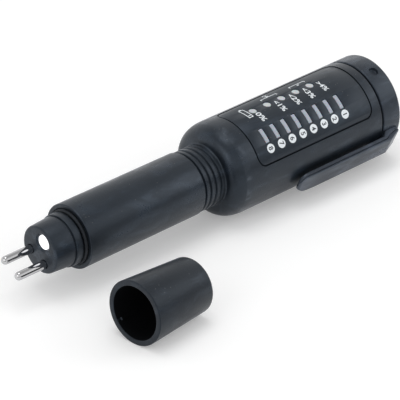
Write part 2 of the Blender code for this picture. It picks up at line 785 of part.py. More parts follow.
def make_probe_pins(tester, looks):
    face = -nose_length
    tip = face - pin_reach
    outline = arc(tip + pin_radius, 0.0, pin_radius, pi, pi / 2, dome_steps)
    outline[0] = (tip, 0.0)
    outline += [(pin_rear, pin_radius), (pin_rear, 0.0)]
    for name, side in (("probe_pin_1", -1), ("probe_pin_2", 1)):
        turned(name, outline, looks["chrome"], tester, pin_facets, (side * pin_side, -pin_drop), closed=False)


def make_work_light(tester, looks):
    """The round lamp in the probe head, with its dome just inside the face."""
    tip = -nose_length + light_recess
    block_rear = -nose_length + nose_block_depth
    flange = block_rear + touch_gap
    height = light_radius * light_dome_share
    dome = arc(1.0, 0.0, 1.0, pi, pi / 2, dome_steps)
    outline = [(tip + height * rise, light_radius * out) for rise, out in dome]
    outline[0] = (tip, 0.0)
    outline += [(flange, light_radius), (flange, light_flange_radius)]
    rear = flange + light_flange_thickness
    outline += [(rear, light_flange_radius), (rear, 0.0)]
    turned("work_light", outline, looks["light"], tester, small_facets, (0, light_offset), closed=False)


def make_probe_board(tester, looks):
    front = pin_rear + touch_gap
    rear = front + probe_board_thickness
    outline = [(front, 0.0), (front, probe_board_radius), (rear, probe_board_radius), (rear, 0.0)]
    turned("probe_board", outline, looks["board"], tester, small_facets, closed=False)


def ease(share):
    """Runs from 0 to 1 with level ends."""
    return share * share * (3 - 2 * share)


def make_wires(tester, looks):
    """Four wires from the probe board, straight down the barrel and then up to the display board."""
    start_x = pin_rear + probe_board_thickness + 2 * touch_gap
    end_x = board_front - touch_gap
    end_z = board_low + board_thickness / 2
    lead = nose_face_radius * lamp_lead_share
    pin_end = nose_face_radius * pin_wire_end_share
    runs = (
        ("probe_wire_1", -pin_side, -pin_drop, -pin_end), ("probe_wire_2", pin_side, -pin_drop, pin_end),
        ("light_wire_1", -lead, light_offset, -lead), ("light_wire_2", lead, light_offset, lead))
    for name, start_y, start_z, end_y in runs:
        route = [(start_x, start_y, start_z)]
        for index in range(wire_bend_steps + 1):
            share = index / wire_bend_steps
            rise = ease(share)
            route.append((
                end_x - wire_bend_length * (1 - share),
                start_y + (end_y - start_y) * rise,
                start_z + (end_z - start_z) * rise))
        look = looks["red_wire"] if name.endswith("1") else looks["black_wire"]
        tube(name, route, wire_radius, look, tester)


def make_end_seal(tester, looks):
    section = (skirt_inner_radius - spigot_radius + seal_groove_depth) / 2 - seal_side_play
    centre_radius = spigot_radius - seal_groove_depth + seal_side_play + section
    middle = head_rear + seal_groove_offset + seal_groove_width / 2
    ring = circle_outline(middle, centre_radius, section, seal_sides)
    turned("end_seal", ring, looks["rubber"], tester)


def make_end_cap(end, looks):
    """The end cap, modelled from its mouth: x is 0 at the mouth and grows to the rear."""
    start = ground_angle - pi / fine_facets
    bore = button_radius + button_play
    inner_face = end_length - end_wall
    outline = [(0.0, skirt_inner_radius), (0.0, head_radius - head_edge_chamfer)]
    outline.append((head_edge_chamfer, head_radius))
    outline += arc(end_length - end_edge, head_radius - end_edge, end_edge, pi / 2, 0.0, end_edge_steps)
    outline += [(end_length, bore + head_edge_chamfer), (end_length - head_edge_chamfer, bore)]
    outline += [(inner_face, bore), (inner_face, skirt_inner_radius)]
    cap = turned("end_cap", outline, looks["shell"], end, start=start)

    shape = bmesh.new()
    boss_front = switch_face + touch_gap
    for side in (-1, 1):
        post = circle_outline(side * boss_y, boss_z, boss_radius, pin_facets)
        add_prism(shape, post, "X", boss_front, inner_face + end_wall / 2)
    combine(cap, as_object("end_cap_bosses", shape, None, end), "UNION")

    shape = bmesh.new()
    for side in (-1, 1):
        hole = circle_outline(side * boss_y, boss_z, screw_radius + touch_gap, hole_facets)
        add_prism(shape, hole, "X", boss_front - cut_overrun, inner_face)
    dimple = circle_outline(dimple_offset, 0.0, dimple_radius, small_facets)
    add_prism(shape, dimple, "Z", head_radius - dimple_depth, head_radius + cut_overrun)
    combine(cap, as_object("end_cap_holes", shape, None, end), "DIFFERENCE")
    return cap


def make_switch_board(end, looks):
    """The round board behind the button; it closes the battery circuit at the rear."""
    front = switch_board_front
    shape = bmesh.new()
    add_prism(shape, circle_outline(0.0, 0.0, switch_board_radius, nose_facets), "X", front, switch_face)
    board = as_object("switch_board", shape, looks["board"], end)
    shape = bmesh.new()
    for side in (-1, 1):
        hole = circle_outline(side * boss_y, boss_z, screw_radius + touch_gap, hole_facets)
        add_prism(shape, hole, "X", front - cut_overrun, switch_face + cut_overrun)
    combine(board, as_object("switch_board_holes", shape, None, end), "DIFFERENCE")

    low = switch_face + touch_gap
    high = low + switch_height
    half = switch_size / 2
    body = prism("tact_switch", box_outline(-half, half, -half, half), "X", low, high, looks["chip"], end)
    stem_outline = circle_outline(0.0, 0.0, switch_stem_radius, hole_facets)
    stem = prism("tact_switch_stem", stem_outline, "X", high - switch_height / 2, switch_stem_top, None, end)
    combine(body, stem, "UNION")

    head_low = front - touch_gap - screw_head_height
    outline = [
        (head_low, 0.0), (head_low, screw_head_radius), (front - touch_gap, screw_head_radius),
        (front - touch_gap, screw_radius), (front + screw_length, screw_radius), (front + screw_length, 0.0)]
    for name, side in (("board_screw_1", -1), ("board_screw_2", 1)):
        turned(name, outline, looks["screw"], end, hole_facets, (side * boss_y, boss_z), closed=False)


def make_power_button(end, looks):
    """A dished push-button in the end cap's rear wall, kept in by a flange."""
    button_pivot = pivot("power_button_pivot", end, (button_front, 0, 0))
    rear = end_length - button_sink - button_front
    thick = button_flange_thickness
    outline = [
        (0.0, 0.0), (0.0, button_flange_radius), (thick, button_flange_radius), (thick, button_radius),
        (rear - button_dish, button_radius), (rear, button_radius - button_dish), (rear - button_dish, 0.0)]
    turned("power_button", outline, looks["button"], button_pivot, nose_facets, closed=False)


def make_pocket_clip(end, looks):
    """The clip, which grows from the end cap and runs forward over the head."""
    hinge = pivot("pocket_clip_pivot", end, (clip_root_length, -clip_root_seat, 0))
    tip = -clip_length
    inner = clip_inner - clip_root_seat
    outer = clip_outer - clip_root_seat
    root = -clip_root_length
    nose = clip_thickness / 2
    outline = [(0.0, 0.0), (root, 0.0), (root - inner, inner), (tip + nose, inner)]
    outline += arc(tip + nose, inner + nose, nose, 3 * pi / 2, pi / 2, tip_steps)[1:]
    outline += [(-clip_slope, outer), (0.0, clip_rear_height)]
    shape = bmesh.new()
    side = [(x, -height) for x, height in outline]
    add_prism(shape, side, "Z", -clip_width / 2, clip_width / 2)
    clip = as_object("pocket_clip", shape, looks["shell"], hinge)

    seat_outline = [
        (root - inner - cut_overrun, 0.0), (root - inner - cut_overrun, clip_root_seat),
        (cut_overrun, clip_root_seat), (cut_overrun, 0.0)]
    seat = turned("pocket_clip_seat", seat_outline, None, hinge, start=pi / 2, centre=(clip_root_seat, 0),
                  closed=False)
    combine(clip, seat, "DIFFERENCE")

    half = clip_width / 2
    plan = arc(tip + half, 0.0, half, pi / 2, 3 * pi / 2, 2 * tip_steps)
    plan += [(cut_overrun, -half), (cut_overrun, half)]
    trim = prism("pocket_clip_plan", plan, "Y", -outer - cut_overrun, cut_overrun, None, hinge)
    combine(clip, trim, "INTERSECT")

    side_line = half + cut_overrun
    bevel_start = clip_edge - outer
    section = [
        (cut_overrun, -side_line), (cut_overrun, side_line), (bevel_start, side_line),
        (bevel_start, half), (-outer, half - clip_edge), (-outer, clip_edge - half),
        (bevel_start, -half), (bevel_start, -side_line)]
    bevel = prism("pocket_clip_bevel", section, "X", tip - cut_overrun, cut_overrun, None, hinge)
    combine(clip, bevel, "INTERSECT")
    return clip


def cap_bore_at(x):
    """The cavity's radius at x from the mouth: straight past the collar, then tapering."""
    share = max(0.0, (x - cap_lead) / (cap_depth - cap_lead))
    return cap_bore_radius + (cap_end_bore_radius - cap_bore_radius) * share


def cap_outline():
    """The loose cap's section, from the middle of its cavity out to the mouth and round the end."""
    rim = cap_mouth_radius - cap_mouth_chamfer
    points = [(cap_depth, 0.0), (cap_depth, cap_end_bore_radius), (cap_lead, cap_bore_radius)]
    points += [(0.0, cap_bore_radius), (0.0, rim)]
    points.append((cap_mouth_chamfer, cap_mouth_radius - cap_mouth_chamfer * cap_taper))
    edge_radius = cap_end_radius + cap_edge * cap_taper
    points += arc(cap_length - cap_edge, edge_radius - cap_edge, cap_edge, pi / 2, 0.0, cap_edge_steps)
    points.append((cap_length, 0.0))
    return points


def make_probe_cap(bench, looks):
    """The loose cap lies on one of its flat facets, so its axis dips towards its closed end."""
    flat = cos(pi / fine_facets)
    dip = atan(cap_taper * flat)
    height = cap_mouth_radius * flat * cos(dip)
    carrier = pivot(
        "probe_cap_pivot", bench, (-cap_mouth_back, -cap_mouth_aside, height), (0, dip, cap_turn))
    start = pi - pi / fine_facets
    cap = turned("probe_cap", cap_outline(), looks["shell"], carrier, start=start, closed=False)

    shape = bmesh.new()
    rib_end = cap_rib_start + cap_rib_length
    inward = cap_play + cap_rib_grip
    for index in range(cap_rib_count):
        rib = [
            (cap_rib_start, cap_bore_radius + touch_gap), (cap_rib_start, cap_bore_radius - inward),
            (cap_lead, cap_bore_radius - inward), (rib_end, cap_bore_at(rib_end) - inward),
            (rib_end, cap_bore_at(rib_end) + touch_gap)]
        before = set(shape.verts)
        add_prism(shape, rib, "Y", -cap_rib_width / 2, cap_rib_width / 2)
        fresh = [item for item in shape.verts if item not in before]
        angle = cap_rib_turn + 2 * pi * index / cap_rib_count
        bmesh.ops.rotate(shape, verts=fresh, cent=(0, 0, 0), matrix=Euler((angle, 0, 0)).to_matrix())
    combine(cap, as_object("probe_cap_ribs", shape, None, carrier), "UNION")
    return cap


def centre_on_floor(bench):
    """Moves everything so that the origin is on the floor, in the middle of the whole outline."""
    bpy.context.view_layer.update()
    depsgraph = bpy.context.evaluated_depsgraph_get()
    corners = []
    for piece in bpy.data.objects:
        if piece.type == "MESH" and not piece.hide_render:
            mesh = piece.evaluated_get(depsgraph).to_mesh()
            corners += [piece.matrix_world @ corner.co for corner in mesh.vertices]
            piece.evaluated_get(depsgraph).to_mesh_clear()
    for axis in (0, 1):
        values = [corner[axis] for corner in corners]
        bench.location[axis] = -(min(values) + max(values)) / 2
    bench.location[2] = -min(corner[2] for corner in corners)
    bpy.context.view_layer.update()


def print_joint_places():
    for piece in bpy.data.objects:
        if piece.type == "EMPTY":
            place = piece.matrix_world.translation
            print(piece.name, "is at", [round(value, 6) for value in place])


def main():
    remove_old_objects()
    looks = {
        "shell": finish_colour("slate_plastic", (0.052, 0.058, 0.070), 0.55),
        "panel": finish_colour("panel_plastic", (0.036, 0.038, 0.046), 0.5),
        "button": finish_colour("button_plastic", (0.03, 0.03, 0.035), 0.6),
        "inner": finish_colour("holder_plastic", (0.02, 0.02, 0.022), 0.6),
        "clear": finish_colour("frosted_guide", (0.55, 0.6, 0.65), 0.45),
        "lamp": finish_colour("lamp_body", (0.8, 0.8, 0.7), 0.3),
        "light": finish_colour("work_light_lens", (0.95, 0.96, 0.97), 0.1),
        "board": finish_colour("circuit_board", (0.02, 0.12, 0.05), 0.4),
        "chip": finish_colour("chip_plastic", (0.01, 0.01, 0.012), 0.5),
        "cell": finish_colour("cell_jacket", (0.25, 0.26, 0.28), 0.35, 0.6),
        "contact": finish_colour("nickel_contact", (0.6, 0.58, 0.55), 0.25, 1.0),
        "screw": finish_colour("steel_screw", (0.5, 0.5, 0.5), 0.3, 1.0),
        "chrome": finish_colour("chrome_pin", (0.75, 0.75, 0.75), 0.1, 1.0),
        "rubber": finish_colour("seal_rubber", (0.01, 0.01, 0.01), 0.8),
        "red_wire": finish_colour("red_wire_skin", (0.4, 0.02, 0.02), 0.5),
        "black_wire": finish_colour("black_wire_skin", (0.02, 0.02, 0.02), 0.5),
    }
    bench = pivot("bench")
    tester = pivot("tester", bench, (0, 0, axis_height), (display_turn, 0, 0))
    make_housing(tester, looks)
    make_display_panel(tester, looks)
    make_bar_light_guide(tester, looks)
    make_dot_light_guide(tester, looks)
    make_display_board(tester, looks)
    make_battery_holder(tester, looks)
    make_cells(tester, looks)
    make_contact_spring("front_spring", holder_front, cell_front, -1, tester, looks)
    make_contact_strip("front_contact", holder_front, cell_front, 1, tester, looks)
    make_probe_head(tester, looks)
    make_probe_pins(tester, looks)
    make_work_light(tester, looks)
    make_probe_board(tester, looks)
    make_wires(tester, looks)
    make_end_seal(tester, looks)

    end = pivot("end_cap_pivot", tester, (end_mouth, 0, 0))
    make_end_cap(end, looks)
    make_switch_board(end, looks)
    cell_end = cell_rear - end_mouth
    make_contact_spring("rear_spring", switch_board_front, cell_end, 1, end, looks)
    make_contact_strip("rear_contact", switch_board_front, cell_end, -1, end, looks)
    make_power_button(end, looks)
    make_pocket_clip(end, looks)
    make_probe_cap(bench, looks)
    centre_on_floor(bench)
    print_joint_places()


main()
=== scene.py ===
# %% [markdown]
# # A hand tester for brake fluid
# The real tool is a plastic tube. Two pins in its thin end dip into the fluid, a wide head
# carries a display, and an end cap at the back holds a push-button and a pocket clip.
# A loose cap for the pins lies beside it.
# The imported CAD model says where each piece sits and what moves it. This script makes the
# forms and finishes that are seen.

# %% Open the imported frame
from contextlib import contextmanager
from math import asin, atan, atan2, cos, pi, radians, sin, sqrt, tan

import bmesh
import bpy
from mathutils import Euler, Matrix, Vector


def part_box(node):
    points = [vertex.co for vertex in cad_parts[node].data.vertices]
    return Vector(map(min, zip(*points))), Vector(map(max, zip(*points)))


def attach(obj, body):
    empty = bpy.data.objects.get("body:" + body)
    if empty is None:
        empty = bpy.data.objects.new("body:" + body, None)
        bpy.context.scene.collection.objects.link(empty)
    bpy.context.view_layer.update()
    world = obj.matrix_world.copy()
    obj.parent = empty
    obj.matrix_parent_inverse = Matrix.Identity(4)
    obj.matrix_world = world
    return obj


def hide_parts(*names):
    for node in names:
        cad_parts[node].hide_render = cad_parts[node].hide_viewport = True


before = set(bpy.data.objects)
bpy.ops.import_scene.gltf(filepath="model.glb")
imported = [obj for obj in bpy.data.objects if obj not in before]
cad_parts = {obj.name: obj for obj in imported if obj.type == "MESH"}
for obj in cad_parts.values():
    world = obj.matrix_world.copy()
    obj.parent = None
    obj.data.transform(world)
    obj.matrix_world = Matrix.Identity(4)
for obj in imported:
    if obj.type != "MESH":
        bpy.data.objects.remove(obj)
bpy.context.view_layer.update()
mm = 0.001
scene = bpy.context.scene
print("nodes in the frame:", len(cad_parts))

# %% [markdown]
# ## The camera
# A product photograph of a small tool is taken from far away with a long lens, so that the
# barrel hardly narrows. The place and the three directions were found by fitting the tool's
# own round edges to the photograph's ellipses.

# %% Camera
lens_length = 270
sensor_width = 36
camera_place = (-0.586324, -0.617162, 0.512886)
camera_right = (0.734073, -0.679070, -0.000802)
camera_up = (0.343034, 0.369800, 0.863467)
camera_forward = (0.586058, 0.634123, -0.504404)


def placed(name, data):
    """Puts a new object in the scene, at the origin."""
    thing = bpy.data.objects.new(name, data)
    scene.collection.objects.link(thing)
    return thing


view = placed("camera", bpy.data.cameras.new("camera"))
view.data.lens = lens_length
view.data.sensor_width = sensor_width
axes = Matrix((camera_right, camera_up, -Vector(camera_forward))).transposed()
view.matrix_world = Matrix.Translation(camera_place) @ axes.to_4x4()
scene.camera = view
scene.view_settings.view_transform = "Standard"
print("camera stands", round(Vector(camera_place).length, 3), "m away")

# %% [markdown]
# ## Two working frames
# Turned parts are easiest to think of along their own axis. In the tester's frame X runs from
# the barrel's rim to the end cap and Z points out through the middle of the display.
# In the cap's frame X runs from the cap's mouth to its closed end.
# Sizes are written in millimetres. Each mesh is made in such a frame and then moved to its
# place once.

# %% Where the tester and the cap lie
display_turn = radians(24)
cap_turn = radians(5)
cap_back = 9.3 * mm
cap_aside = 42.0 * mm
facet_share = cos(pi / 48)      # the CAD model's round pieces have 48 flat sides

shell_low, shell_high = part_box("housing")
rim_x = shell_low.x
axis_y = (shell_low.y + shell_high.y) / 2
axis_z = (shell_low.z + shell_high.z) / 2
head = (shell_high.z - shell_low.z) / 2 / mm
tester_place = Matrix.Translation((rim_x, axis_y, axis_z)) @ Matrix.Rotation(display_turn, 4, "X")

cap_mouth_radius = 11.1 * facet_share
cap_end_radius = 9.5 * facet_share
cap_length = 26.75
cap_dip = atan((cap_mouth_radius - cap_end_radius) / cap_length)
cap_mouth = (rim_x - cap_back, axis_y - cap_aside, cap_mouth_radius * mm * cos(cap_dip))
cap_place = Matrix.Translation(cap_mouth) @ Euler((0, cap_dip, cap_turn)).to_matrix().to_4x4()
print("head radius", round(head, 3), "mm, cap dips", round(cap_dip * 180 / pi, 2), "degrees")

# %% [markdown]
# ## Helpers for node trees
# Geometry trees and shader trees are wired in the same way: make a node, set its settings,
# and feed each input either a value or a link.

# %% Wire a node
def feed(tree, made, inputs):
    """Gives inputs plain values or links. A node stands for its first output."""
    for key, value in inputs.items():
        if isinstance(value, bpy.types.Node):
            value = value.outputs[0]
        if isinstance(value, bpy.types.NodeSocket):
            tree.links.new(value, made.inputs[key])
        else:
            made.inputs[key].default_value = value


def node(tree, kind, inputs=None, **settings):
    made = tree.nodes.new(kind)
    for key, value in settings.items():
        setattr(made, key, value)
    feed(tree, made, inputs or {})
    return made


def math(tree, operation, first, second=0.0):
    return node(tree, "ShaderNodeMath", {0: first, 1: second}, operation=operation).outputs[0]


def times(tree, first, *others):
    for other in others:
        first = math(tree, "MULTIPLY", first, other)
    return first


def ramp(tree, value, start, end, shape="LINEAR"):
    """Goes from 0 where the value is at its start to 1 at its end."""
    return node(tree, "ShaderNodeMapRange", {"Value": value, "From Min": start, "From Max": end},
                interpolation_type=shape).outputs[0]


def new_tree(name, kind, inputs, outputs):
    """A node group with named inputs (name, type, value) and named outputs (name, type)."""
    tree = bpy.data.node_groups.new(name, kind)
    for label, socket_type, value in inputs:
        socket = tree.interface.new_socket(label, in_out="INPUT", socket_type="NodeSocket" + socket_type)
        if value is not None:
            socket.default_value = value
    for label, socket_type in outputs:
        tree.interface.new_socket(label, in_out="OUTPUT", socket_type="NodeSocket" + socket_type)
    return tree, tree.nodes.new("NodeGroupInput").outputs, tree.nodes.new("NodeGroupOutput")


# %% Start, end and run a geometry tree
def new_form_tree(name, *inputs):
    """A geometry tree. Each one also takes the material of what it makes."""
    return new_tree(name, "GeometryNodeTree", [*inputs, ("Material", "Material", None)],
                    [("Geometry", "Geometry")])


def end_form_tree(tree, given, result, made):
    real = node(tree, "GeometryNodeRealizeInstances", {"Geometry": made})
    dressed = node(tree, "GeometryNodeSetMaterial", {"Geometry": real, "Material": given["Material"]})
    feed(tree, result, {"Geometry": dressed})
    print(tree.name, "has", len(tree.nodes), "nodes")
    return tree


def worked_in(holder):
    """The plain mesh of an object with its modifiers worked in."""
    bpy.context.view_layer.update()
    return bpy.data.meshes.new_from_object(holder.evaluated_get(bpy.context.evaluated_depsgraph_get()))


def grown(tree, seed=None, **values):
    """Runs a tree on a seed mesh and returns the plain mesh that it makes."""
    holder = placed("holder", seed or bpy.data.meshes.new("seed"))
    step = holder.modifiers.new("tree", "NODES")
    step.node_group = tree
    for item in tree.interface.items_tree:
        key = item.name.replace(" ", "_")
        if item.in_out == "INPUT" and key in values:
            step[item.identifier] = values[key]
    mesh = worked_in(holder)
    holder.modifiers.clear()
    bpy.data.objects.remove(holder)
    return mesh


# %% [markdown]
# ## Turned forms
# Nearly every piece of this tool is round about one line: barrel, end cap, button, pins.
# A lathe makes such a piece from its section, and so does this tree: the section is a thin
# line that Curve to Mesh carries once round a circle. Points on the middle line fall together,
# so Merge by Distance closes the poles.

# %% The turning tree
guide_radius = 10 * mm
pole_merge = 0.001 * mm


def make_turning_tree():
    tree, given, result = new_form_tree(
        "turned form", ("Section", "Geometry", None), ("Guide Radius", "Float", guide_radius),
        ("Sides", "Int", 96))
    section = node(tree, "GeometryNodeMeshToCurve", {"Mesh": given["Section"]})
    guide = node(tree, "GeometryNodeCurvePrimitiveCircle", {
        "Resolution": given["Sides"], "Radius": given["Guide Radius"]})
    skin = node(tree, "GeometryNodeCurveToMesh", {"Curve": guide, "Profile Curve": section})
    along_x = node(tree, "GeometryNodeTransform", {"Geometry": skin, "Rotation": (0, pi / 2, 0)})
    merged = node(tree, "GeometryNodeMergeByDistance", {"Geometry": along_x, "Distance": pole_merge})
    return end_form_tree(tree, given, result, merged)


turning_tree = make_turning_tree()

# %% [markdown]
# A moulded part has no dead sharp corner. A section is written as its corners, each with the
# radius of its rounding, and this helper puts the small arcs in.

# %% Round a section's corners
arc_steps = 5


def softened(corners):
    """Turns corners (x, radius, rounding) in mm into the points of a smooth section in metres."""
    points = []
    for index, (x, radius, rounding) in enumerate(corners):
        here = Vector((x, radius)) * mm
        if not rounding:
            points.append(here)
            continue
        back = (Vector(corners[index - 1][:2]) * mm - here).normalized()
        ahead = (Vector(corners[(index + 1) % len(corners)][:2]) * mm - here).normalized()
        half = back.angle(ahead) / 2
        reach = rounding * mm / tan(half)
        middle = here + (back + ahead).normalized() * rounding * mm / sin(half)
        first = here + back * reach - middle
        last = here + ahead * reach - middle
        start = atan2(first.y, first.x)
        sweep = (atan2(last.y, last.x) - start + pi) % (2 * pi) - pi
        for step in range(arc_steps + 1):
            angle = start + sweep * step / arc_steps
            points.append(middle + Vector((cos(angle), sin(angle))) * rounding * mm)
    return points


# %% [markdown]
# ## Clean meshes
# Every mesh gets the same finish: points that coincide are merged, faces point outwards, and
# only edges steeper than 30 degrees stay sharp.

# %% Clean, turn and combine
weld = 0.002 * mm
sharp_angle = radians(30)


@contextmanager
def opened(mesh):
    """Opens a mesh for editing, and writes it back afterwards."""
    shape = bmesh.new()
    shape.from_mesh(mesh)
    yield shape
    shape.to_mesh(mesh)
    shape.free()


def cleaned(mesh):
    with opened(mesh) as shape:
        bmesh.ops.remove_doubles(shape, verts=shape.verts, dist=weld)
        bmesh.ops.recalc_face_normals(shape, faces=shape.faces)
    mesh.shade_smooth()
    mesh.set_sharp_from_angle(angle=sharp_angle)
    return mesh


def turned(corners, look=None, sides=192, aside=(0, 0)):
    """A turned form about X. A section that starts on the middle line isn't closed to a loop."""
    points = softened(corners)
    seed = bpy.data.meshes.new("section")
    edges = [(index, index + 1) for index in range(len(points) - 1)]
    if corners[0][1]:
        edges.append((len(points) - 1, 0))
    seed.from_pydata([(point.y - guide_radius, -point.x, 0) for point in points], edges, [])
    mesh = grown(turning_tree, seed, Guide_Radius=guide_radius, Sides=sides, Material=look)
    mesh.transform(Matrix.Translation((0, aside[0] * mm, aside[1] * mm)))
    return cleaned(mesh)


def combined(mesh, tools, operation="DIFFERENCE"):
    """Cuts other meshes out of a mesh, or joins them to it."""
    body = placed("body", mesh)
    helpers = [placed("tool", tool) for tool in tools]
    for helper in helpers:
        step = body.modifiers.new("cut", "BOOLEAN")
        step.operation = operation
        step.solver = "EXACT"
        step.object = helper
    result = worked_in(body)
    for item in helpers + [body]:
        bpy.data.objects.remove(item)
    return cleaned(result)


def prism(outline, axis, low, high, look=None):
    """A flat outline in mm, carried straight along one axis."""
    order = {"X": (2, 0, 1), "Y": (0, 2, 1), "Z": (0, 1, 2)}[axis]
    count = len(outline)
    points = [Vector([(a, b, level)[index] for index in order]) * mm
              for level in (low, high) for a, b in outline]
    faces = [list(range(count)), list(range(count, 2 * count))]
    faces += [(i, (i + 1) % count, count + (i + 1) % count, count + i) for i in range(count)]
    mesh = bpy.data.meshes.new("prism")
    mesh.from_pydata(points, [], faces)
    if look:
        mesh.materials.append(look)
    return cleaned(mesh)


def joined(meshes):
    result = bpy.data.meshes.new("joined")
    with opened(result) as shape:
        for mesh in meshes:
            shape.from_mesh(mesh)
    return result


# %% Put a finished piece in the scene
def show(name, mesh, slot, *nodes, body="tester", place=tester_place):
    """Moves a mesh to its place, and says what carries it and which CAD nodes it stands for."""
    mesh.transform(place)
    mesh.name = name
    piece = placed(name, mesh)
    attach(piece, body)
    if nodes:
        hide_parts(*nodes)
    print(name, len(mesh.polygons), "faces, mm", [round(size / mm, 1) for size in piece.dimensions])


# %% [markdown]
# ## Finishes
# All the plastics come from moulds with a fine spark-eroded grain. Handling leaves soft marks
# that are smoother and a little paler, and dust settles on what faces up. These three effects
# are shader groups, so each material uses them with its own values. They read Object
# coordinates in metres, which lie still on every piece because all objects sit at the origin.

# %% Colours as they look on a screen
def paint(red, green, blue):
    """An sRGB colour from 0 to 255 as the linear colour that a shader wants."""
    def linear(value):
        value = value / 255
        return value / 12.92 if value <= 0.04045 else ((value + 0.055) / 1.055) ** 2.4
    return (linear(red), linear(green), linear(blue), 1.0)


def shade(colour, factor):
    return tuple(min(1.0, value * factor) for value in colour[:3]) + (1.0,)


def blended(tree, factor, first, second, mode="MIX"):
    return node(tree, "ShaderNodeMix", {0: factor, 6: first, 7: second}, data_type="RGBA",
                blend_type=mode).outputs[2]


# %% Where a surface lies and which way it faces
def object_place(tree):
    return node(tree, "ShaderNodeTexCoord").outputs["Object"]


def object_x(tree):
    return node(tree, "ShaderNodeSeparateXYZ", {"Vector": object_place(tree)}).outputs["X"]


def facing(tree, direction):
    """How squarely the surface faces a direction: 1 when it looks straight that way."""
    normal = node(tree, "ShaderNodeTexCoord").outputs["Normal"]
    return node(tree, "ShaderNodeVectorMath", {0: normal, 1: direction},
                operation="DOT_PRODUCT").outputs["Value"]


# %% Group: moulded grain
def make_grain_group():
    tree, given, result = new_tree("moulded grain", "ShaderNodeTree", [
        ("Cells Per Metre", "Float", 3200.0), ("Roughness", "Float", 0.5), ("Spread", "Float", 0.25),
        ("Tone Spread", "Float", 0.5)],
        [("Height", "Float"), ("Roughness", "Float"), ("Tone", "Float")])
    place = object_place(tree)
    cells = given["Cells Per Metre"]
    grain = node(tree, "ShaderNodeTexNoise", {
        "Vector": place, "Scale": cells, "Detail": 3.0, "Roughness": 0.6}).outputs["Fac"]
    pits = node(tree, "ShaderNodeTexVoronoi", {"Vector": place, "Scale": times(tree, cells, 0.6)})
    cloud = node(tree, "ShaderNodeTexNoise", {"Vector": place, "Scale": 70.0, "Detail": 4.0})
    swing = math(tree, "ADD", math(tree, "SUBTRACT", cloud.outputs["Fac"], 0.5),
                 math(tree, "SUBTRACT", grain, 0.5))
    feed(tree, result, {
        "Height": math(tree, "ADD", grain, times(tree, pits.outputs["Distance"], 0.5)),
        "Roughness": math(tree, "ADD", given["Roughness"], times(tree, swing, given["Spread"])),
        "Tone": math(tree, "ADD", 1.0, times(tree, swing, given["Tone Spread"]))})
    return tree


# %% Group: marks from handling
def make_marks_group():
    tree, given, result = new_tree("handling marks", "ShaderNodeTree", [
        ("Marks Per Metre", "Float", 190.0), ("Amount", "Float", 0.5)], [("Mask", "Float")])
    smear = node(tree, "ShaderNodeMapping", {"Vector": object_place(tree), "Scale": (0.35, 1.0, 1.0)})
    marks = node(tree, "ShaderNodeTexNoise", {
        "Vector": smear, "Scale": given["Marks Per Metre"], "Detail": 5.0, "Roughness": 0.65,
        "Distortion": 0.6}).outputs["Fac"]
    kept = ramp(tree, marks, 0.46, 0.7, "SMOOTHSTEP")
    feed(tree, result, {"Mask": times(tree, kept, given["Amount"])})
    return tree


# %% Group: settled dust
def make_dust_group():
    tree, given, result = new_tree("settled dust", "ShaderNodeTree", [
        ("Specks Per Metre", "Float", 900.0), ("Amount", "Float", 0.4)], [("Mask", "Float")])
    specks = node(tree, "ShaderNodeTexVoronoi", {
        "Vector": object_place(tree), "Scale": given["Specks Per Metre"]}).outputs
    near = ramp(tree, specks["Distance"], 0.16, 0.05)
    chance = node(tree, "ShaderNodeSeparateColor", {"Color": specks["Color"]})
    some = math(tree, "GREATER_THAN", chance, 0.86)
    upward = ramp(tree, facing(tree, (0, 0, 1)), 0.2, 0.9)
    feed(tree, result, {"Mask": times(tree, near, some, upward, given["Amount"])})
    return tree


grain_group = make_grain_group()
marks_group = make_marks_group()
dust_group = make_dust_group()
print("shader groups:", grain_group.name, "/", marks_group.name, "/", dust_group.name)

# %% [markdown]
# ## Plastics
# One recipe serves all the moulded pieces. Grain goes to roughness, colour and bump, marks make
# patches smoother and lighter, dust adds pale dull specks. A faint cool sheen stands for the
# bloom that a fine grain shows along its far edges.

# %% The moulded plastic recipe
dust_colour = paint(176, 174, 168)
cool_sheen = (0.72, 0.84, 1.0, 1.0)
sheen_roughness = 0.2
mark_lift = 3.6
mark_polish = 0.18
dust_dulling = 0.3


def new_look(name):
    look = bpy.data.materials.new(name)
    look.use_nodes = True
    return look, look.node_tree, look.node_tree.nodes["Principled BSDF"]


def use_group(tree, group, **values):
    """Puts a shader group in a material with its own values, and returns the group's outputs."""
    made = node(tree, "ShaderNodeGroup", node_tree=group)
    feed(tree, made, {key.replace("_", " "): value for key, value in values.items()})
    return made.outputs


def bump(tree, height, distance):
    """A bump whose full height is the given distance in mm."""
    return node(tree, "ShaderNodeBump", {"Height": height, "Distance": distance * mm}).outputs["Normal"]


def toned(tree, colour, grains):
    return blended(tree, 1.0, colour, grains["Tone"], "MULTIPLY")


def plastic(name, colour, roughness, grain=3200.0, depth=0.03, marks=0.6, dust=0.3, bloom=0.2, shine=0.5):
    look, tree, shader = new_look(name)
    grains = use_group(tree, grain_group, Cells_Per_Metre=grain, Roughness=roughness)
    touched = use_group(tree, marks_group, Amount=marks)["Mask"]
    dusty = use_group(tree, dust_group, Amount=dust)["Mask"]
    body = blended(tree, touched, toned(tree, colour, grains), shade(colour, mark_lift))
    smoother = math(tree, "SUBTRACT", grains["Roughness"], times(tree, touched, mark_polish))
    feed(tree, shader, {
        "Base Color": blended(tree, dusty, body, dust_colour),
        "Roughness": math(tree, "ADD", smoother, times(tree, dusty, dust_dulling)),
        "Normal": bump(tree, grains["Height"], depth),
        "Specular IOR Level": shine, "Specular Tint": cool_sheen,
        "Sheen Weight": bloom, "Sheen Roughness": sheen_roughness, "Sheen Tint": cool_sheen})
    return look


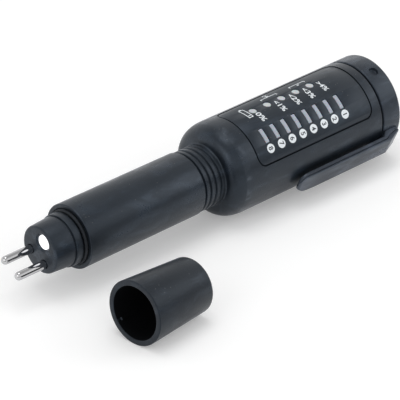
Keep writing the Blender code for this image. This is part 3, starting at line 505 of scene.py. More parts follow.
# %% The plastics of this tool
slate_shell = plastic("slate moulded shell", paint(18, 23, 29), 0.38)
end_slate = plastic("paler slate of the end cap", paint(34, 39, 46), 0.36)
panel_film = plastic("dark display panel", paint(21, 26, 32), 0.42, grain=5200.0, depth=0.008)
clip_plastic = plastic("slate pocket clip", paint(44, 49, 57), 0.38)
button_plastic = plastic("soft black button", paint(34, 36, 40), 0.6, grain=2600.0)
holder_plastic = plastic("black holder", paint(30, 31, 34), 0.55, dust=0.0)
nose_slate = plastic("handled slate of the probe head", paint(20, 25, 31), 0.42, marks=1.0)
cap_slate = plastic("slate of the loose cap", paint(18, 22, 27), 0.4, shine=0.37)
# Painted shade: a near-black, dull plastic for the inside of the cap, where the cup lies in shade.
bore_painted_shade = plastic("painted shade inside the cap", paint(8, 8, 9), 0.8, marks=0.0, dust=0.0, bloom=0.0,
                     shine=0.1)
seal_rubber = plastic("black seal rubber", paint(24, 24, 25), 0.72, grain=4200.0, dust=0.0)
red_skin = plastic("red wire skin", paint(165, 32, 30), 0.4, grain=2000.0, depth=0.005, dust=0.0)
black_skin = plastic("black wire skin", paint(26, 26, 28), 0.4, grain=2000.0, depth=0.005, dust=0.0)
chip_black = plastic("black chip body", paint(28, 28, 30), 0.5, grain=7000.0, depth=0.006, dust=0.0)
print("shell colour, linear:", [round(value, 4) for value in paint(18, 23, 29)[:3]])

# %% [markdown]
# A thin pale ring is painted where the shoulder turns into the head: a painted highlight. It starts within
# 0.7 mm, fades over 3 mm and breaks up along its way.
# The clip gets painted highlights too: along the edge of its outer face, and on the face near the tip.

# %% Painted highlights on the shoulder and on the clip
def painted_highlight(look, mask, colour):
    """Blends a paler colour over a finished plastic, as a painted highlight."""
    tree = look.node_tree
    shader = tree.nodes["Principled BSDF"]
    before = shader.inputs["Base Color"].links[0].from_socket
    feed(tree, shader, {"Base Color": blended(tree, mask, before, colour)})


# Painted highlight: a thin pale ring where the shoulder turns into the head, broken up by patches.
shoulder_turn = rim_x + 63.9 * mm
shell_tree = slate_shell.node_tree
near, far = [ramp(shell_tree, object_x(shell_tree), shoulder_turn + start, shoulder_turn, "SMOOTHSTEP")
             for start in (-0.7 * mm, 3.0 * mm)]
patches = use_group(shell_tree, marks_group, Marks_Per_Metre=260.0, Amount=0.8)["Mask"]
painted_highlight(slate_shell, times(shell_tree, near, far, math(shell_tree, "ADD", patches, 0.12)), paint(74, 80, 88))

# Painted highlight and painted reflection on the clip: a pale band on the rounding along its outer face,
# and a paler outer face near the tip where it reflects the floor.
clip_tree = clip_plastic.node_tree
near_tip = ramp(clip_tree, object_x(clip_tree), rim_x + 97.0 * mm, rim_x + 86.5 * mm, "SMOOTHSTEP")
outward = facing(clip_tree, (0, -cos(display_turn), -sin(display_turn)))
flat = ramp(clip_tree, outward, 0.9, 0.99)
edge = math(clip_tree, "SUBTRACT", ramp(clip_tree, outward, 0.35, 0.6), flat)
smear = use_group(clip_tree, marks_group, Marks_Per_Metre=300.0, Amount=0.5)["Mask"]
clip_highlight_mask = math(clip_tree, "ADD", times(clip_tree, flat, near_tip), times(clip_tree, edge, 0.6))
painted_highlight(clip_plastic, times(clip_tree, clip_highlight_mask, math(clip_tree, "SUBTRACT", 1.0, smear)), paint(96, 101, 110))

# %% [markdown]
# ## Light guides, lenses and inks
# The windows of the display hold frosted clear plastic. It looks pale grey because it scatters
# the light that falls in. The work light is lit, so its lens gives off white. The print is a
# thin, slightly uneven layer of ink.

# %% Frosted, lit and printed looks
def grained_look(name, colour, grain, roughness, tones, depth, settings=None, colours="Base Color"):
    """A plain look with a fine grain. One of the shader's colour inputs takes its toned colour."""
    look, tree, shader = new_look(name)
    grains = use_group(tree, grain_group, Cells_Per_Metre=grain, Roughness=roughness, Tone_Spread=tones)
    feed(tree, shader, {colours: toned(tree, colour, grains), "Roughness": grains["Roughness"],
                        "Normal": bump(tree, grains["Height"], depth), **(settings or {})})
    return look


frosting = {"Subsurface Weight": 0.25, "Subsurface Scale": 0.8 * mm}
frosted_bars = grained_look("frosted bar guide", paint(168, 174, 186), 5200.0, 0.38, 0.12, 0.012, frosting)
frosted_dots = grained_look("frosted dot guide", paint(196, 200, 204), 5200.0, 0.38, 0.12, 0.012, frosting)
lit_lens = grained_look("lit white lens", paint(250, 250, 252), 2400.0, 0.22, 0.04, 0.004, {
    "Base Color": paint(235, 236, 240), "Emission Strength": 0.9}, "Emission Color")
white_ink = grained_look("white ink", paint(232, 238, 242), 6500.0, 0.55, 0.14, 0.004)
dark_ink = grained_look("dark ink", paint(52, 57, 66), 6500.0, 0.55, 0.14, 0.004)
print("looks so far:", len(bpy.data.materials))

# %% [markdown]
# ## Metals
# The pins are plated and polished on a lathe, so very fine rings run round them. Contacts,
# springs and screws are plain nickel or steel with a coarser brushed grain.

# %% Turned and brushed metals
def make_metal(name, colour, roughness, lines, depth):
    look, tree, shader = new_look(name)
    stretched = node(tree, "ShaderNodeMapping", {"Vector": object_place(tree), "Scale": lines})
    noise = node(tree, "ShaderNodeTexNoise", {"Vector": stretched, "Scale": 1.0, "Detail": 3.0})
    rings = noise.outputs["Fac"]
    touched = use_group(tree, marks_group, Marks_Per_Metre=240.0, Amount=0.4)["Mask"]
    swing = times(tree, math(tree, "SUBTRACT", rings, 0.5), 0.12)
    feed(tree, shader, {
        "Base Color": blended(tree, touched, colour, shade(colour, 0.82)), "Metallic": 1.0,
        "Roughness": math(tree, "ADD", math(tree, "ADD", swing, roughness), times(tree, touched, 0.12)),
        "Normal": bump(tree, rings, depth)})
    return look


turned_lines = (9000.0, 300.0, 300.0)
brushed_lines = (600.0, 4000.0, 4000.0)
chrome = make_metal("polished plated pin", (0.55, 0.55, 0.56, 1.0), 0.06, turned_lines, 0.0004)
nickel = make_metal("nickel contact", (0.66, 0.63, 0.57, 1.0), 0.28, brushed_lines, 0.002)
steel = make_metal("steel screw", (0.50, 0.50, 0.51, 1.0), 0.32, brushed_lines, 0.002)
print("looks with the metals:", len(bpy.data.materials))

# %% [markdown]
# ## Wrapping flat work round the head
# The panel, its windows and its print are drawn flat, with X along the tester, Y as the
# distance round the head and Z as the height over the panel's face. One tree then bends them.
# Points keep their place in the plan, so walls of windows stay parallel, as a mould needs.

# %% The wrapping tree
panel_sink = 0.15
face_radius = (head - panel_sink) * mm


def make_wrapping_tree():
    tree, given, result = new_form_tree(
        "wrap round the head", ("Flat", "Geometry", None), ("Face Radius", "Float", 0.016))
    place = node(tree, "ShaderNodeSeparateXYZ", {0: node(tree, "GeometryNodeInputPosition")}).outputs
    radius = given["Face Radius"]
    side = times(tree, math(tree, "SINE", math(tree, "DIVIDE", place["Y"], radius)), radius)
    reach = math(tree, "ADD", radius, place["Z"])
    rest = math(tree, "SUBTRACT", times(tree, reach, reach), times(tree, side, side))
    bent = node(tree, "ShaderNodeCombineXYZ", {"X": place["X"], "Y": side, "Z": math(tree, "SQRT", rest)})
    moved = node(tree, "GeometryNodeSetPosition", {"Geometry": given["Flat"], "Position": bent})
    return end_form_tree(tree, given, result, moved)


wrapping_tree = make_wrapping_tree()


# %% Unroll, slice and wrap
def round_distance(y):
    """Distance round the panel's face, in mm, of a point that lies y to the side in the plan."""
    return asin(y * mm / face_radius) * face_radius / mm


def unrolled(outline):
    """An outline drawn in the plan, as it lies on the flat panel."""
    return [(x, round_distance(y)) for x, y in outline]


def sliced(mesh, pitch):
    """Cuts a flat mesh into narrow strips, so that it can bend."""
    with opened(mesh) as shape:
        bmesh.ops.remove_doubles(shape, verts=shape.verts, dist=weld)
        low = min(corner.co.y for corner in shape.verts)
        high = max(corner.co.y for corner in shape.verts)
        for index in range(1, int((high - low) / (pitch * mm)) + 1):
            everything = shape.verts[:] + shape.edges[:] + shape.faces[:]
            bmesh.ops.bisect_plane(shape, geom=everything, plane_co=(0, low + index * pitch * mm, 0),
                                   plane_no=(0, 1, 0), dist=0.1 * weld)
    return mesh


def wrapped(mesh, look=None, pitch=0.7):
    return cleaned(grown(wrapping_tree, sliced(mesh, pitch), Face_Radius=face_radius, Material=look))


# %% [markdown]
# ## The housing
# The long body is one moulding: a wide mouth with a small lip, a slightly tapered barrel, four
# grip grooves, a rounded shoulder and the thick head, which ends in a narrower spigot for the
# end cap. A lathe form gives all of that. Two cuts follow: the shallow seat of the display
# panel and the opening under it.

# %% Sizes of the housing
rim_radius = 11.2
neck_radius = 11.1
land_radius = 10.8
barrel_length = 49.6
groove_count = 4
groove_pitch = 2.3
groove_depth = 0.65
neck_rear = barrel_length + groove_count * groove_pitch + 0.4
shoulder_length = 8.0
shoulder_power = 2.45
shoulder_steps = 30
head_rear = 127.5
gap_share = 0.25        # the head ends this much early, so the dark line before the cap is wider
spigot_radius = 15.05
spigot_rear = 133.1
seal_front = head_rear + 2.0
seal_width = 1.2
seal_floor = spigot_radius - 0.8
lip_radius = 9.75
lip_depth = 1.4
mouth_radius = 10.2
mouth_depth = 3.0
bore_radius = 8.4
bore_rear = 64.0
hollow_radius = 13.6
hollow_front = 71.0
print("shoulder from", neck_rear, "to", neck_rear + shoulder_length, "mm, spigot ends at", spigot_rear)

# %% Sizes of the panel's seat
panel_front = 70.3
panel_rear = 123.2
panel_half = 12.31
panel_corner = 2.6
panel_thickness = 0.9
fit_gap = 0.3
side_gap = 0.45
front_gap = 0.6
opening_front = 73.3
opening_rear = 120.2
opening_half = 9.2
opening_low = 9.2
opening_high = 18.0
print("panel", round(panel_rear - panel_front, 2), "by", 2 * panel_half, "mm")

# %% Outlines in mm
def rectangle(x_low, x_high, y_low, y_high):
    return [(x_low, y_low), (x_high, y_low), (x_high, y_high), (x_low, y_high)]


def quarter(x, y, radius, turn, steps):
    """A quarter circle about a centre, after so many quarter turns."""
    angles = [pi / 2 * (turn + step / steps) for step in range(steps + 1)]
    return [(x + radius * cos(angle), y + radius * sin(angle)) for angle in angles]


def rounded_outline(x_low, x_high, y_low, y_high, corner, steps=8):
    """A rectangle with rounded corners."""
    return (quarter(x_high - corner, y_high - corner, corner, 0, steps)
            + quarter(x_low + corner, y_high - corner, corner, 1, steps)
            + quarter(x_low + corner, y_low + corner, corner, 2, steps)
            + quarter(x_high - corner, y_low + corner, corner, 3, steps))


# %% Turn the housing and cut the seat
def shoulder():
    """A rounded square end, from the neck up to the head: a quarter of a superellipse."""
    corners = []
    for step in range(1, shoulder_steps + 1):
        angle = pi / 2 * step / shoulder_steps
        back = 1 - max(0.0, cos(angle)) ** (2 / shoulder_power)
        out = sin(angle) ** (2 / shoulder_power)
        corners.append((neck_rear + shoulder_length * back, land_radius + (head - land_radius) * out, 0))
    return corners


def housing_section():
    corners = [(0, lip_radius, 0.2), (0, rim_radius, 0.35)]
    for index in range(groove_count):
        edge = barrel_length + index * groove_pitch
        crest = land_radius if index else neck_radius
        floor = land_radius - groove_depth
        corners += [(edge, crest, 0.12), (edge + 0.3, floor, 0.08),
                    (edge + 0.9, floor, 0.08), (edge + 1.2, land_radius, 0.12)]
    corners += [(neck_rear, land_radius, 0.5), *shoulder()]
    seal_rear = seal_front + seal_width
    head_end = head_rear - gap_share
    return corners + [
        (head_end, head, 0.4), (head_end, spigot_radius, 0.1), (seal_front, spigot_radius, 0.08),
        (seal_front, seal_floor, 0.08), (seal_rear, seal_floor, 0.08), (seal_rear, spigot_radius, 0.08),
        (spigot_rear, spigot_radius, 0.3), (spigot_rear, hollow_radius, 0.15),
        (hollow_front, hollow_radius, 0.5), (bore_rear, bore_radius, 0.5), (mouth_depth, bore_radius, 0.15),
        (mouth_depth, mouth_radius, 0.15), (lip_depth, mouth_radius, 0.1), (lip_depth, lip_radius, 0.1)]


seat_outline = unrolled(rounded_outline(
    panel_front - front_gap, panel_rear + fit_gap, -panel_half - side_gap, panel_half + fit_gap,
    panel_corner + side_gap))
seat = wrapped(prism(seat_outline, "Z", -panel_thickness - fit_gap, 1.5))
opening = prism(rectangle(opening_front, opening_rear, -opening_half, opening_half), "Z",
                opening_low, opening_high)
shell = combined(turned(housing_section(), slate_shell), [seat, opening])
show("shell_moulding", shell, "slate_plastic", "housing")

# %% [markdown]
# ## The display panel
# A curved plate lies in that seat. Eight long windows show the bar lamps and five round ones
# the dot lamps. The plate is made flat, cut, given a fine rounding along its upper edges, and
# only then bent, so that every rounding runs evenly.

# %% Sizes of the windows
panel_length = panel_rear - panel_front
middle = (panel_front + panel_rear) / 2 - 2.68
bar_pitch = panel_length * 0.0941
dot_pitch = panel_length * 0.1257
bar_places = [middle + (3.5 - index) * bar_pitch for index in range(8)]
dot_places = [middle + (2 - index) * dot_pitch for index in range(5)]
bar_y = -4.45
dot_y = 6.075
bar_half_width = 0.95
bar_half_length = 2.674
dot_radius = 1.45
print("bars at", [round(x, 1) for x in bar_places], "dots at", [round(x, 1) for x in dot_places])

# %% Cut and bend the panel
def circle(x, y, radius, sides=40):
    angles = [2 * pi * index / sides for index in range(sides)]
    return [(x + radius * cos(angle), y + radius * sin(angle)) for angle in angles]


def rounded_about(x, y, half_x, half_y, corner, steps):
    """A rectangle with rounded corners, drawn about its centre."""
    return rounded_outline(x - half_x, x + half_x, y - half_y, y + half_y, corner, steps)


def eased_top(mesh, width):
    """Rounds the edges where a flat top meets its walls."""
    with opened(mesh) as shape:
        top = max(corner.co.z for corner in shape.verts)
        rims = [edge for edge in shape.edges
                if all(abs(corner.co.z - top) < weld for corner in edge.verts)
                and len(edge.link_faces) == 2 and edge.calc_face_angle() > sharp_angle]
        bmesh.ops.bevel(shape, geom=rims, offset=width * mm, segments=2, profile=0.5, affect="EDGES")
    return mesh


panel_outline = unrolled(rounded_outline(panel_front, panel_rear, -panel_half, panel_half, panel_corner))
windows = [rounded_about(x, bar_y, bar_half_width, bar_half_length, 0.25, 3) for x in bar_places]
windows += [circle(x, dot_y, dot_radius) for x in dot_places]
plate = combined(prism(panel_outline, "Z", -panel_thickness, 0.0),
                 [prism(unrolled(outline), "Z", -2.0, 1.0) for outline in windows])
show("panel_plate", wrapped(eased_top(plate, 0.1), panel_film), "panel_plastic", "display_panel")

# %% [markdown]
# ## The light guides
# Under each row of windows lies one comb of frosted plastic. Its teeth stand in the windows a
# little below the panel's face, so each window reads as a sunken pale field with a dark edge.

# %% Make the two combs
guide_sink = 0.16
guide_top = face_radius / mm - guide_sink
web_low = 9.2
web_high = 10.4
foot_low = 7.9
foot_length = 1.6
web_reach = 3.4
tooth_half_width = 0.81
tooth_half_length = 2.52
peg_radius = 1.33


def tooth(outline):
    """A tooth or peg whose top follows the head's curve."""
    mesh = sliced(eased_top(prism(outline, "Z", web_high - 0.2, guide_top), 0.1), 0.5)
    for corner in mesh.vertices:
        if corner.co.z > (web_high + 1) * mm:
            corner.co.z += sqrt((guide_top * mm) ** 2 - corner.co.y ** 2) - guide_top * mm
    return cleaned(mesh)


def comb(places, y, half_web, outlines, look):
    """A web on two feet, with all its teeth."""
    front, rear = places[-1] - web_reach, places[0] + web_reach
    side = [(front, foot_low), (front, web_high), (rear, web_high), (rear, foot_low),
            (rear - foot_length, foot_low), (rear - foot_length, web_low),
            (front + foot_length, web_low), (front + foot_length, foot_low)]
    web = prism(side, "Y", y - half_web, y + half_web, look)
    return combined(web, [joined([tooth(outline) for outline in outlines])], "UNION")


bar_teeth = [rounded_about(x, bar_y, tooth_half_width, tooth_half_length, 0.2, 4) for x in bar_places]
dot_pegs = [circle(x, dot_y, peg_radius) for x in dot_places]
show("bar_guide_comb", comb(bar_places, bar_y, 2.4, bar_teeth, frosted_bars), "frosted_guide",
     "bar_light_guide")
show("dot_guide_comb", comb(dot_places, dot_y, 0.8, dot_pegs, frosted_dots), "frosted_guide",
     "dot_light_guide")

# %% [markdown]
# ## The print on the panel
# White discs with dark numbers mark the bars, and short readings in white stand beside the
# round windows. The discs repeat along a line, which is what a tree of points and instances is
# for. The letters are flat text with a little thickness, cut into strips and wrapped.

# %% A row of discs
ink = 0.02
ink_lift = 0.012
print_pitch = 0.4
disc_angle = 33.0
disc_radius = 1.575


def make_disc_row_tree():
    tree, given, result = new_form_tree(
        "row of printed discs", ("Count", "Int", 8), ("First", "Vector", None), ("Step", "Vector", None),
        ("Radius", "Float", 0.0015), ("Thickness", "Float", 0.00002))
    points = node(tree, "GeometryNodeMeshLine", {
        "Count": given["Count"], "Start Location": given["First"], "Offset": given["Step"]})
    disc = node(tree, "GeometryNodeMeshCylinder", {
        "Vertices": 40, "Radius": given["Radius"], "Depth": given["Thickness"]})
    row = node(tree, "GeometryNodeInstanceOnPoints", {"Points": points, "Instance": disc})
    return end_form_tree(tree, given, result, row)


def towards_clip(degrees):
    """Distance round the face, in mm, at an angle from the display's middle towards the clip."""
    return -radians(degrees) * face_radius / mm


discs = grown(
    make_disc_row_tree(), None, Count=len(bar_places),
    First=(bar_places[0] * mm, towards_clip(disc_angle) * mm, (ink_lift + ink / 2) * mm),
    Step=(-bar_pitch * mm, 0, 0), Radius=disc_radius * mm, Thickness=ink * mm, Material=white_ink)
show("number_discs", wrapped(discs, white_ink, print_pitch), "panel_plastic")

# %% Flat letters and flat signs
def flat_text(words, x, y, height, width=None, lift=ink_lift):
    """Lettering in mm on the flat panel: it reads towards the clip, upright with the end cap up."""
    letters = bpy.data.curves.new("letters", "FONT")
    letters.body = words
    letters.extrude = 0.05
    letters.offset = 0.018
    letters.resolution_u = 4
    holder = placed("letters", letters)
    mesh = worked_in(holder)
    bpy.data.objects.remove(holder)
    low = Vector([min(corner.co[axis] for corner in mesh.vertices) for axis in range(3)])
    high = Vector([max(corner.co[axis] for corner in mesh.vertices) for axis in range(3)])
    size = high - low
    tall = height / size.y
    wide = width / size.x if width else tall
    for corner in mesh.vertices:
        share = corner.co - low
        corner.co = Vector((
            x + tall * (share.y - size.y / 2), y - wide * (share.x - size.x / 2),
            lift + ink * share.z / size.z)) * mm
    return mesh


def flat_sign(outline):
    return prism(outline, "Z", ink_lift, ink_lift + ink)


# %% Numbers on the discs
digit_height = 1.9
digits = [flat_text(str(index + 1), x, towards_clip(disc_angle), digit_height, lift=ink_lift + ink)
          for index, x in enumerate(bar_places)]
show("disc_numbers", wrapped(joined(digits), dark_ink, print_pitch), "panel_plastic")

# %% Readings, brackets and signs
reading_height = 2.1
# Each reading has its words, its place along the tester and the two angles that it spans.
readings = ((">4%", 110.7, -21.0, -3.0), ("<3%", 103.9, -21.0, -1.0), ("<2%", 97.4, -21.0, -1.0),
            ("<1%", 90.6, -21.0, -1.0), ("0%", 80.9, -15.5, 0.0))
prints = [flat_text(words, x, towards_clip((first + last) / 2), reading_height,
                    towards_clip(first) - towards_clip(last)) for words, x, first, last in readings]
line = 0.32
bracket_y = towards_clip(-35.2)
inner = bracket_y - line / 2
signs = []
for x_low, x_high in ((101.0, 108.2), (87.8, 95.1)):
    signs += [rectangle(x_low, x_high, inner, bracket_y + line / 2),
              rectangle(x_low, x_low + line, bracket_y - 0.9, inner),
              rectangle(x_high - line, x_high, bracket_y - 0.9, inner)]
signs.append(circle(104.6, bracket_y - 0.95, 0.42, 20))
prints += [flat_sign(outline) for outline in signs]
prints.append(flat_text("OK", 91.4, bracket_y + 1.15, 1.5))

# The battery sign: two long sides, two ends, the small pole and the bar of its charge.
left, right = 76.7, 78.7
low, high, pole = towards_clip(-12.3), towards_clip(-33.7) - 0.5, towards_clip(-33.7)
prints += [flat_sign(rectangle(*sides)) for sides in (
    (left, left + line, low, high), (right - line, right, low, high),
    (left + line, right - line, low, low + line), (left + line, right - line, high - line, high),
    (left + 0.55, right - 0.55, high, pole), (left + 0.5, right - 0.5, low + 0.9, low + 0.9 + line))]
show("panel_print", wrapped(joined(prints), white_ink, print_pitch), "panel_plastic")

# %% [markdown]
# ## The end cap, its button and the clip
# The end cap slides over the spigot and carries two screw posts for the switch board. A small
# round dimple on its edge marks how it goes on. The push-button sits in the rear wall with a
# shallow dish for the thumb.

# %% Turn the end cap
end_mouth = head_rear + 0.4
end_rear = end_mouth + 8.3
end_wall = 1.6
end_face = end_rear - end_wall
end_bore = 15.35
button_hole = 5.8
post_place = 10.4 * sin(radians(45))
dimple_x = end_mouth + 4.3


def post(x_low, x_high, side, radius, sides=32):
    return prism(circle(side * post_place, post_place, radius, sides), "X", x_low, x_high, end_slate)


def solid(*corners):
    """A section that reaches the middle line at both ends."""
    return [(corners[0][0], 0, 0), *corners, (corners[-1][0], 0, 0)]


end_shell = turned([
    (end_mouth + 0.1, end_bore, 0.15), (end_mouth + 0.1, head, 0.4), (end_rear, head, 0.9),
    (end_rear, button_hole, 0.3), (end_face, button_hole, 0.1), (end_face, end_bore, 0.5)], end_slate)
end_shell = combined(
    end_shell, [post(end_mouth + 2.0, end_face + 0.8, side, 2.2) for side in (-1, 1)], "UNION")
dimple = turned(solid(
    (head - 1.15, 1.5, 0.3), (head - 0.15, 1.7, 0.1), (head + 0.6, 2.3, 0)), None, 48)
dimple.transform(Matrix.Translation((dimple_x * mm, 0, 0)) @ Matrix.Rotation(-pi / 2, 4, "Y"))
screw_holes = [post(end_mouth + 1.0, end_face, side, 1.1, 20) for side in (-1, 1)]
show("end_cap_moulding", combined(end_shell, [dimple] + screw_holes), "slate_plastic", "end_cap",
     body="end_cap")

# %% Turn the button
button_front = end_mouth + 5.4
button_rear = end_rear - 0.5
flange_radius = 6.7
flange_rear = button_front + 1.0
button_radius = 5.5
dish_radius = 4.6
dish_depth = 0.4
dish = [(button_rear - dish_depth * (1 - (radius / dish_radius) ** 2), radius, 0)
        for radius in (dish_radius, 3.6, 2.6, 1.6, 0.8, 0.0)]
button = turned([
    (button_front, 0, 0), (button_front, flange_radius, 0.2), (flange_rear, flange_radius, 0.2),
    (flange_rear, button_radius, 0.1), (button_rear, button_radius, 0.4), *dish], button_plastic, 96)
show("button_moulding", button, "button_plastic", "power_button", body="power_button")

# %% [markdown]
# The clip is a springy tongue with a half-round tip. Its width and thickness change along its
# length by simple rules, so it is lofted: one rounded rectangle for each station, joined one to
# the next. Each rectangle has a small notch in its two sides, which draws a groove round the
# clip. At the tip width and thickness shrink along circles, which gives the soft end.

# %% Sizes of the clip
clip_x = end_mouth + 6.4
clip_seat = head + 0.33
clip_length = 48.1
clip_half = 4.0
clip_low = 1.0
clip_high = 3.1
clip_root_high = 0.9
clip_root_ramp = 5.6
clip_foot_low = -1.2
clip_foot_front = 6.4
clip_foot_length = 7.4
clip_slope_length = 9.0
clip_slope = 0.7
clip_notch = 0.3
clip_arc_steps = 5
clip_rear_ease = 0.2
thinnest = 0.02
narrowest = 0.03
print("clip reaches from", clip_x, "to", round(clip_x - clip_length, 2), "mm")

# %% Loft the clip
def shrink(distance, radius):
    """Half a round end: how wide it is at a distance from its tip."""
    gone = max(0.0, radius - distance)
    return sqrt(max(0.0, radius ** 2 - gone ** 2))


def clip_station(along):
    """The low side, high side and half width of the clip, along mm from its rear end."""
    from_tip = clip_length - along
    centre = (clip_low + clip_high) / 2
    half = max(thinnest, shrink(from_tip, (clip_high - clip_low) / 2))
    low, high = centre - half, centre + half
    if along < clip_foot_length:
        low = max(clip_foot_low, along - clip_foot_front)
    if along < clip_root_ramp:
        high = clip_root_high + (clip_high - clip_root_high) * along / clip_root_ramp
    if from_tip < clip_slope_length:
        high = max(low + thinnest, high - clip_slope * (1 - from_tip / clip_slope_length) ** 2)
    return low, high, max(narrowest, shrink(from_tip, clip_half))


def clip_ring(along, inset=0.0):
    """The clip's outline at one station: four rounded corners, and a notch in each side."""
    low, high, half = clip_station(along)
    low, high, half = low + inset, high - inset, half - inset
    tall = high - low
    edge = min(0.35, 0.25 * tall, 0.4 * half)
    small = min(0.2, 0.3 * tall, 0.5 * half)
    inward = min(clip_notch, 0.2 * half)
    shelf = low + 0.5 * tall
    notch = [(half, shelf), (half - 2.2 * inward, shelf + 0.1 * tall), (half - inward, shelf + 0.2 * tall)]
    ring = (notch + quarter(half - inward - edge, high - edge, edge, 0, clip_arc_steps)
            + quarter(inward + edge - half, high - edge, edge, 1, clip_arc_steps)
            + [(-across, up) for across, up in reversed(notch)]
            + quarter(small - half, low + small, small, 2, clip_arc_steps)
            + quarter(half - small, low + small, small, 3, clip_arc_steps))
    return [Vector((clip_x - along, -clip_seat - up, across)) * mm for across, up in ring]


def loft_clip():
    stations = [0.0, 0.25, 1.5, 3.0, 4.5, 5.2, 5.6, 6.0, 6.6, 7.4, *range(8, 44)]
    stations += [clip_length - clip_half * (1 - sin(pi / 2 * step / 16)) for step in range(17)]
    mesh = bpy.data.meshes.new("clip")
    with opened(mesh) as shape:
        rows = [[shape.verts.new(point) for point in clip_ring(along, 0.0 if along else clip_rear_ease)]
                for along in stations]
        for one, other in zip(rows, rows[1:]):
            for index in range(len(one)):
                after = (index + 1) % len(one)
                shape.faces.new((one[index], one[after], other[after], other[index]))
        shape.faces.new(rows[0])
        shape.faces.new(rows[-1])
    mesh.materials.append(clip_plastic)
    return cleaned(mesh)


clip_bed = turned(solid((end_mouth - 5, head + 0.15, 0), (end_rear + 2, head + 0.15, 0)))
clip = combined(loft_clip(), [clip_bed])
show("clip_moulding", clip, "slate_plastic", "pocket_clip", body="pocket_clip")

# %% [markdown]
# ## The probe head
# A dark plug with a rounded face fills the barrel's mouth. A narrow collar round its base holds
# the loose cap. Two bores pass the pins, and a flared bore frames the work light.

# %% Turn and drill the probe head
nose_face = -12.3
nose_rear = 12.0
pin_y = 3.6
pin_z = -3.2
lamp_z = 3.6
nose_section = [
    (nose_face, 0, 0), (nose_face, 8.2, 0.7),  # the face
    (-4.7, 8.68, 0.1), (-4.5, 8.4, 0.08), (-4.15, 8.4, 0.08),  # a fine groove
    (-4.1, 9.08, 0.2), (-1.5, 9.08, 0.2),  # the collar
    (-1.5, 8.2, 0.1), (1.8, 8.2, 0.1), (1.8, 9.9, 0.1), (2.7, 9.9, 0.1),  # seal seat and flange
    (2.7, 8.1, 0.1), (nose_rear, 8.1, 0.1),  # the sleeve behind them
    (nose_rear, 7.5, 0.1), (-5.3, 7.5, 0.3), (-5.3, 0, 0)]  # and its hollow
drill_end = -4
pin_drill = solid((nose_face - 1, 2.7, 0), (nose_face + 0.1, 1.6, 0), (drill_end, 1.6, 0))
lamp_drill = solid((nose_face - 0.5, 3.8, 0), (nose_face + 0.5, 2.8, 0.2), (drill_end, 2.8, 0))
drills = [turned(pin_drill, None, 40, (side * pin_y, pin_z)) for side in (-1, 1)]
drills.append(turned(lamp_drill, None, 64, (0, lamp_z)))
nose = combined(turned(nose_section, nose_slate, 160), drills)
show("probe_head_moulding", nose, "slate_plastic", "probe_head")

# %% Turn the pins
pin_radius = 1.45
pin_tip = nose_face - 11.9
pin_rear = 0.9


def dome(tip, radius, height, steps):
    """The section of a round nose, from its tip out to its full radius."""
    angles = [pi / 2 * step / steps for step in range(steps + 1)]
    return [(tip + height * (1 - cos(angle)), radius * sin(angle), 0) for angle in angles]


pin_section = dome(pin_tip, pin_radius, pin_radius, 10) + [(pin_rear, pin_radius, 0.15), (pin_rear, 0, 0)]
for number, side in ((1, -1), (2, 1)):
    pin = turned(pin_section, chrome, 48, (side * pin_y, pin_z))
    show("plated_pin_%d" % number, pin, "chrome_pin", "probe_pin_%d" % number)

# %% Turn the lens of the work light
lens_radius = 2.5
lens_tip = nose_face + 0.25
lens_foot = -5.0
lens_section = dome(lens_tip, lens_radius, 0.15 * lens_radius, 12) + [
    (lens_foot, lens_radius, 0), (lens_foot, 2.95, 0.1), (-4.0, 2.95, 0.1), (-4.0, 0, 0)]
lens = turned(lens_section, lit_lens, 64, (0, lamp_z))
show("work_light_lens_form", lens, "work_light_lens", "work_light")

# %% [markdown]
# ## The loose cap
# The cap is a thin tapered cup. It is straight inside as far as the collar reaches, then
# narrows, and three small ribs inside its mouth grip the collar.

# %% Turn the cap and add its ribs
cap_bore = 9.15
cap_depth = 24.4
cap_floor_radius = 7.55
cap_straight = 4.6
rib_count = 3
rib_rear = 8.2
first_rib = radians(-8)
cap = turned([
    (cap_depth, 0, 0), (cap_depth, cap_floor_radius, 0.8), (cap_straight, cap_bore, 0), (0, cap_bore, 0.2),
    (0, cap_mouth_radius, 0.35), (cap_length, cap_end_radius, 1.3), (cap_length, 0, 0)], cap_slate)


def rib_at(angle):
    """One rib: a bar along the bore, with a ramp at its front."""
    grip = cap_bore - 0.35
    side = [(1.2, cap_bore + 0.3), (1.9, grip), (cap_straight, grip), (rib_rear, grip - 0.29),
            (rib_rear, cap_bore + 0.2)]
    rib = prism(side, "Y", -0.5, 0.5, cap_slate)
    rib.transform(Matrix.Rotation(angle, 4, "X"))
    return rib


ribs = [rib_at(first_rib + 2 * pi * index / rib_count) for index in range(rib_count)]
cap = combined(cap, ribs, "UNION")

# %% Paint shade into the cap's bore, but not onto the ribs' feet
cap.materials.append(bore_painted_shade)
inside = 0
for face in cap.polygons:
    x = face.center.x / mm
    reach = sqrt(face.center.y ** 2 + face.center.z ** 2) / mm
    on_rib = x < 3 and reach < cap_bore - 0.08
    if 0.9 < x < cap_depth + 0.1 and reach < cap_bore + 0.05 and not on_rib:
        face.material_index = 1
        inside += 1
print(inside, "faces inside the cap are black")
show("probe_cap_moulding", cap, "slate_plastic", "probe_cap", body="probe_cap", place=cap_place)

# %% [markdown]
# ## Seals, springs and screws
# Small bought-in parts finish the assembly. Both seals are plain rubber rings. The springs are
# cone-shaped coils, which a spiral curve with a round wire gives at once. The screws have a
# cross recess, cut into a turned blank.

# %% Seal rings
def ring_section(x, radius, thick):
    return [(a, b, 0) for a, b in circle(x, radius, thick, 16)]


end_ring = turned(ring_section(head_rear + 2.6, spigot_radius - 0.25, 0.42), seal_rubber, 128)
show("end_ring", end_ring, "seal_rubber", "end_seal")
nose_ring = turned(ring_section(-0.25, 8.95, 0.62), seal_rubber, 96)
show("nose_ring", nose_ring, "seal_rubber", "probe_seal")

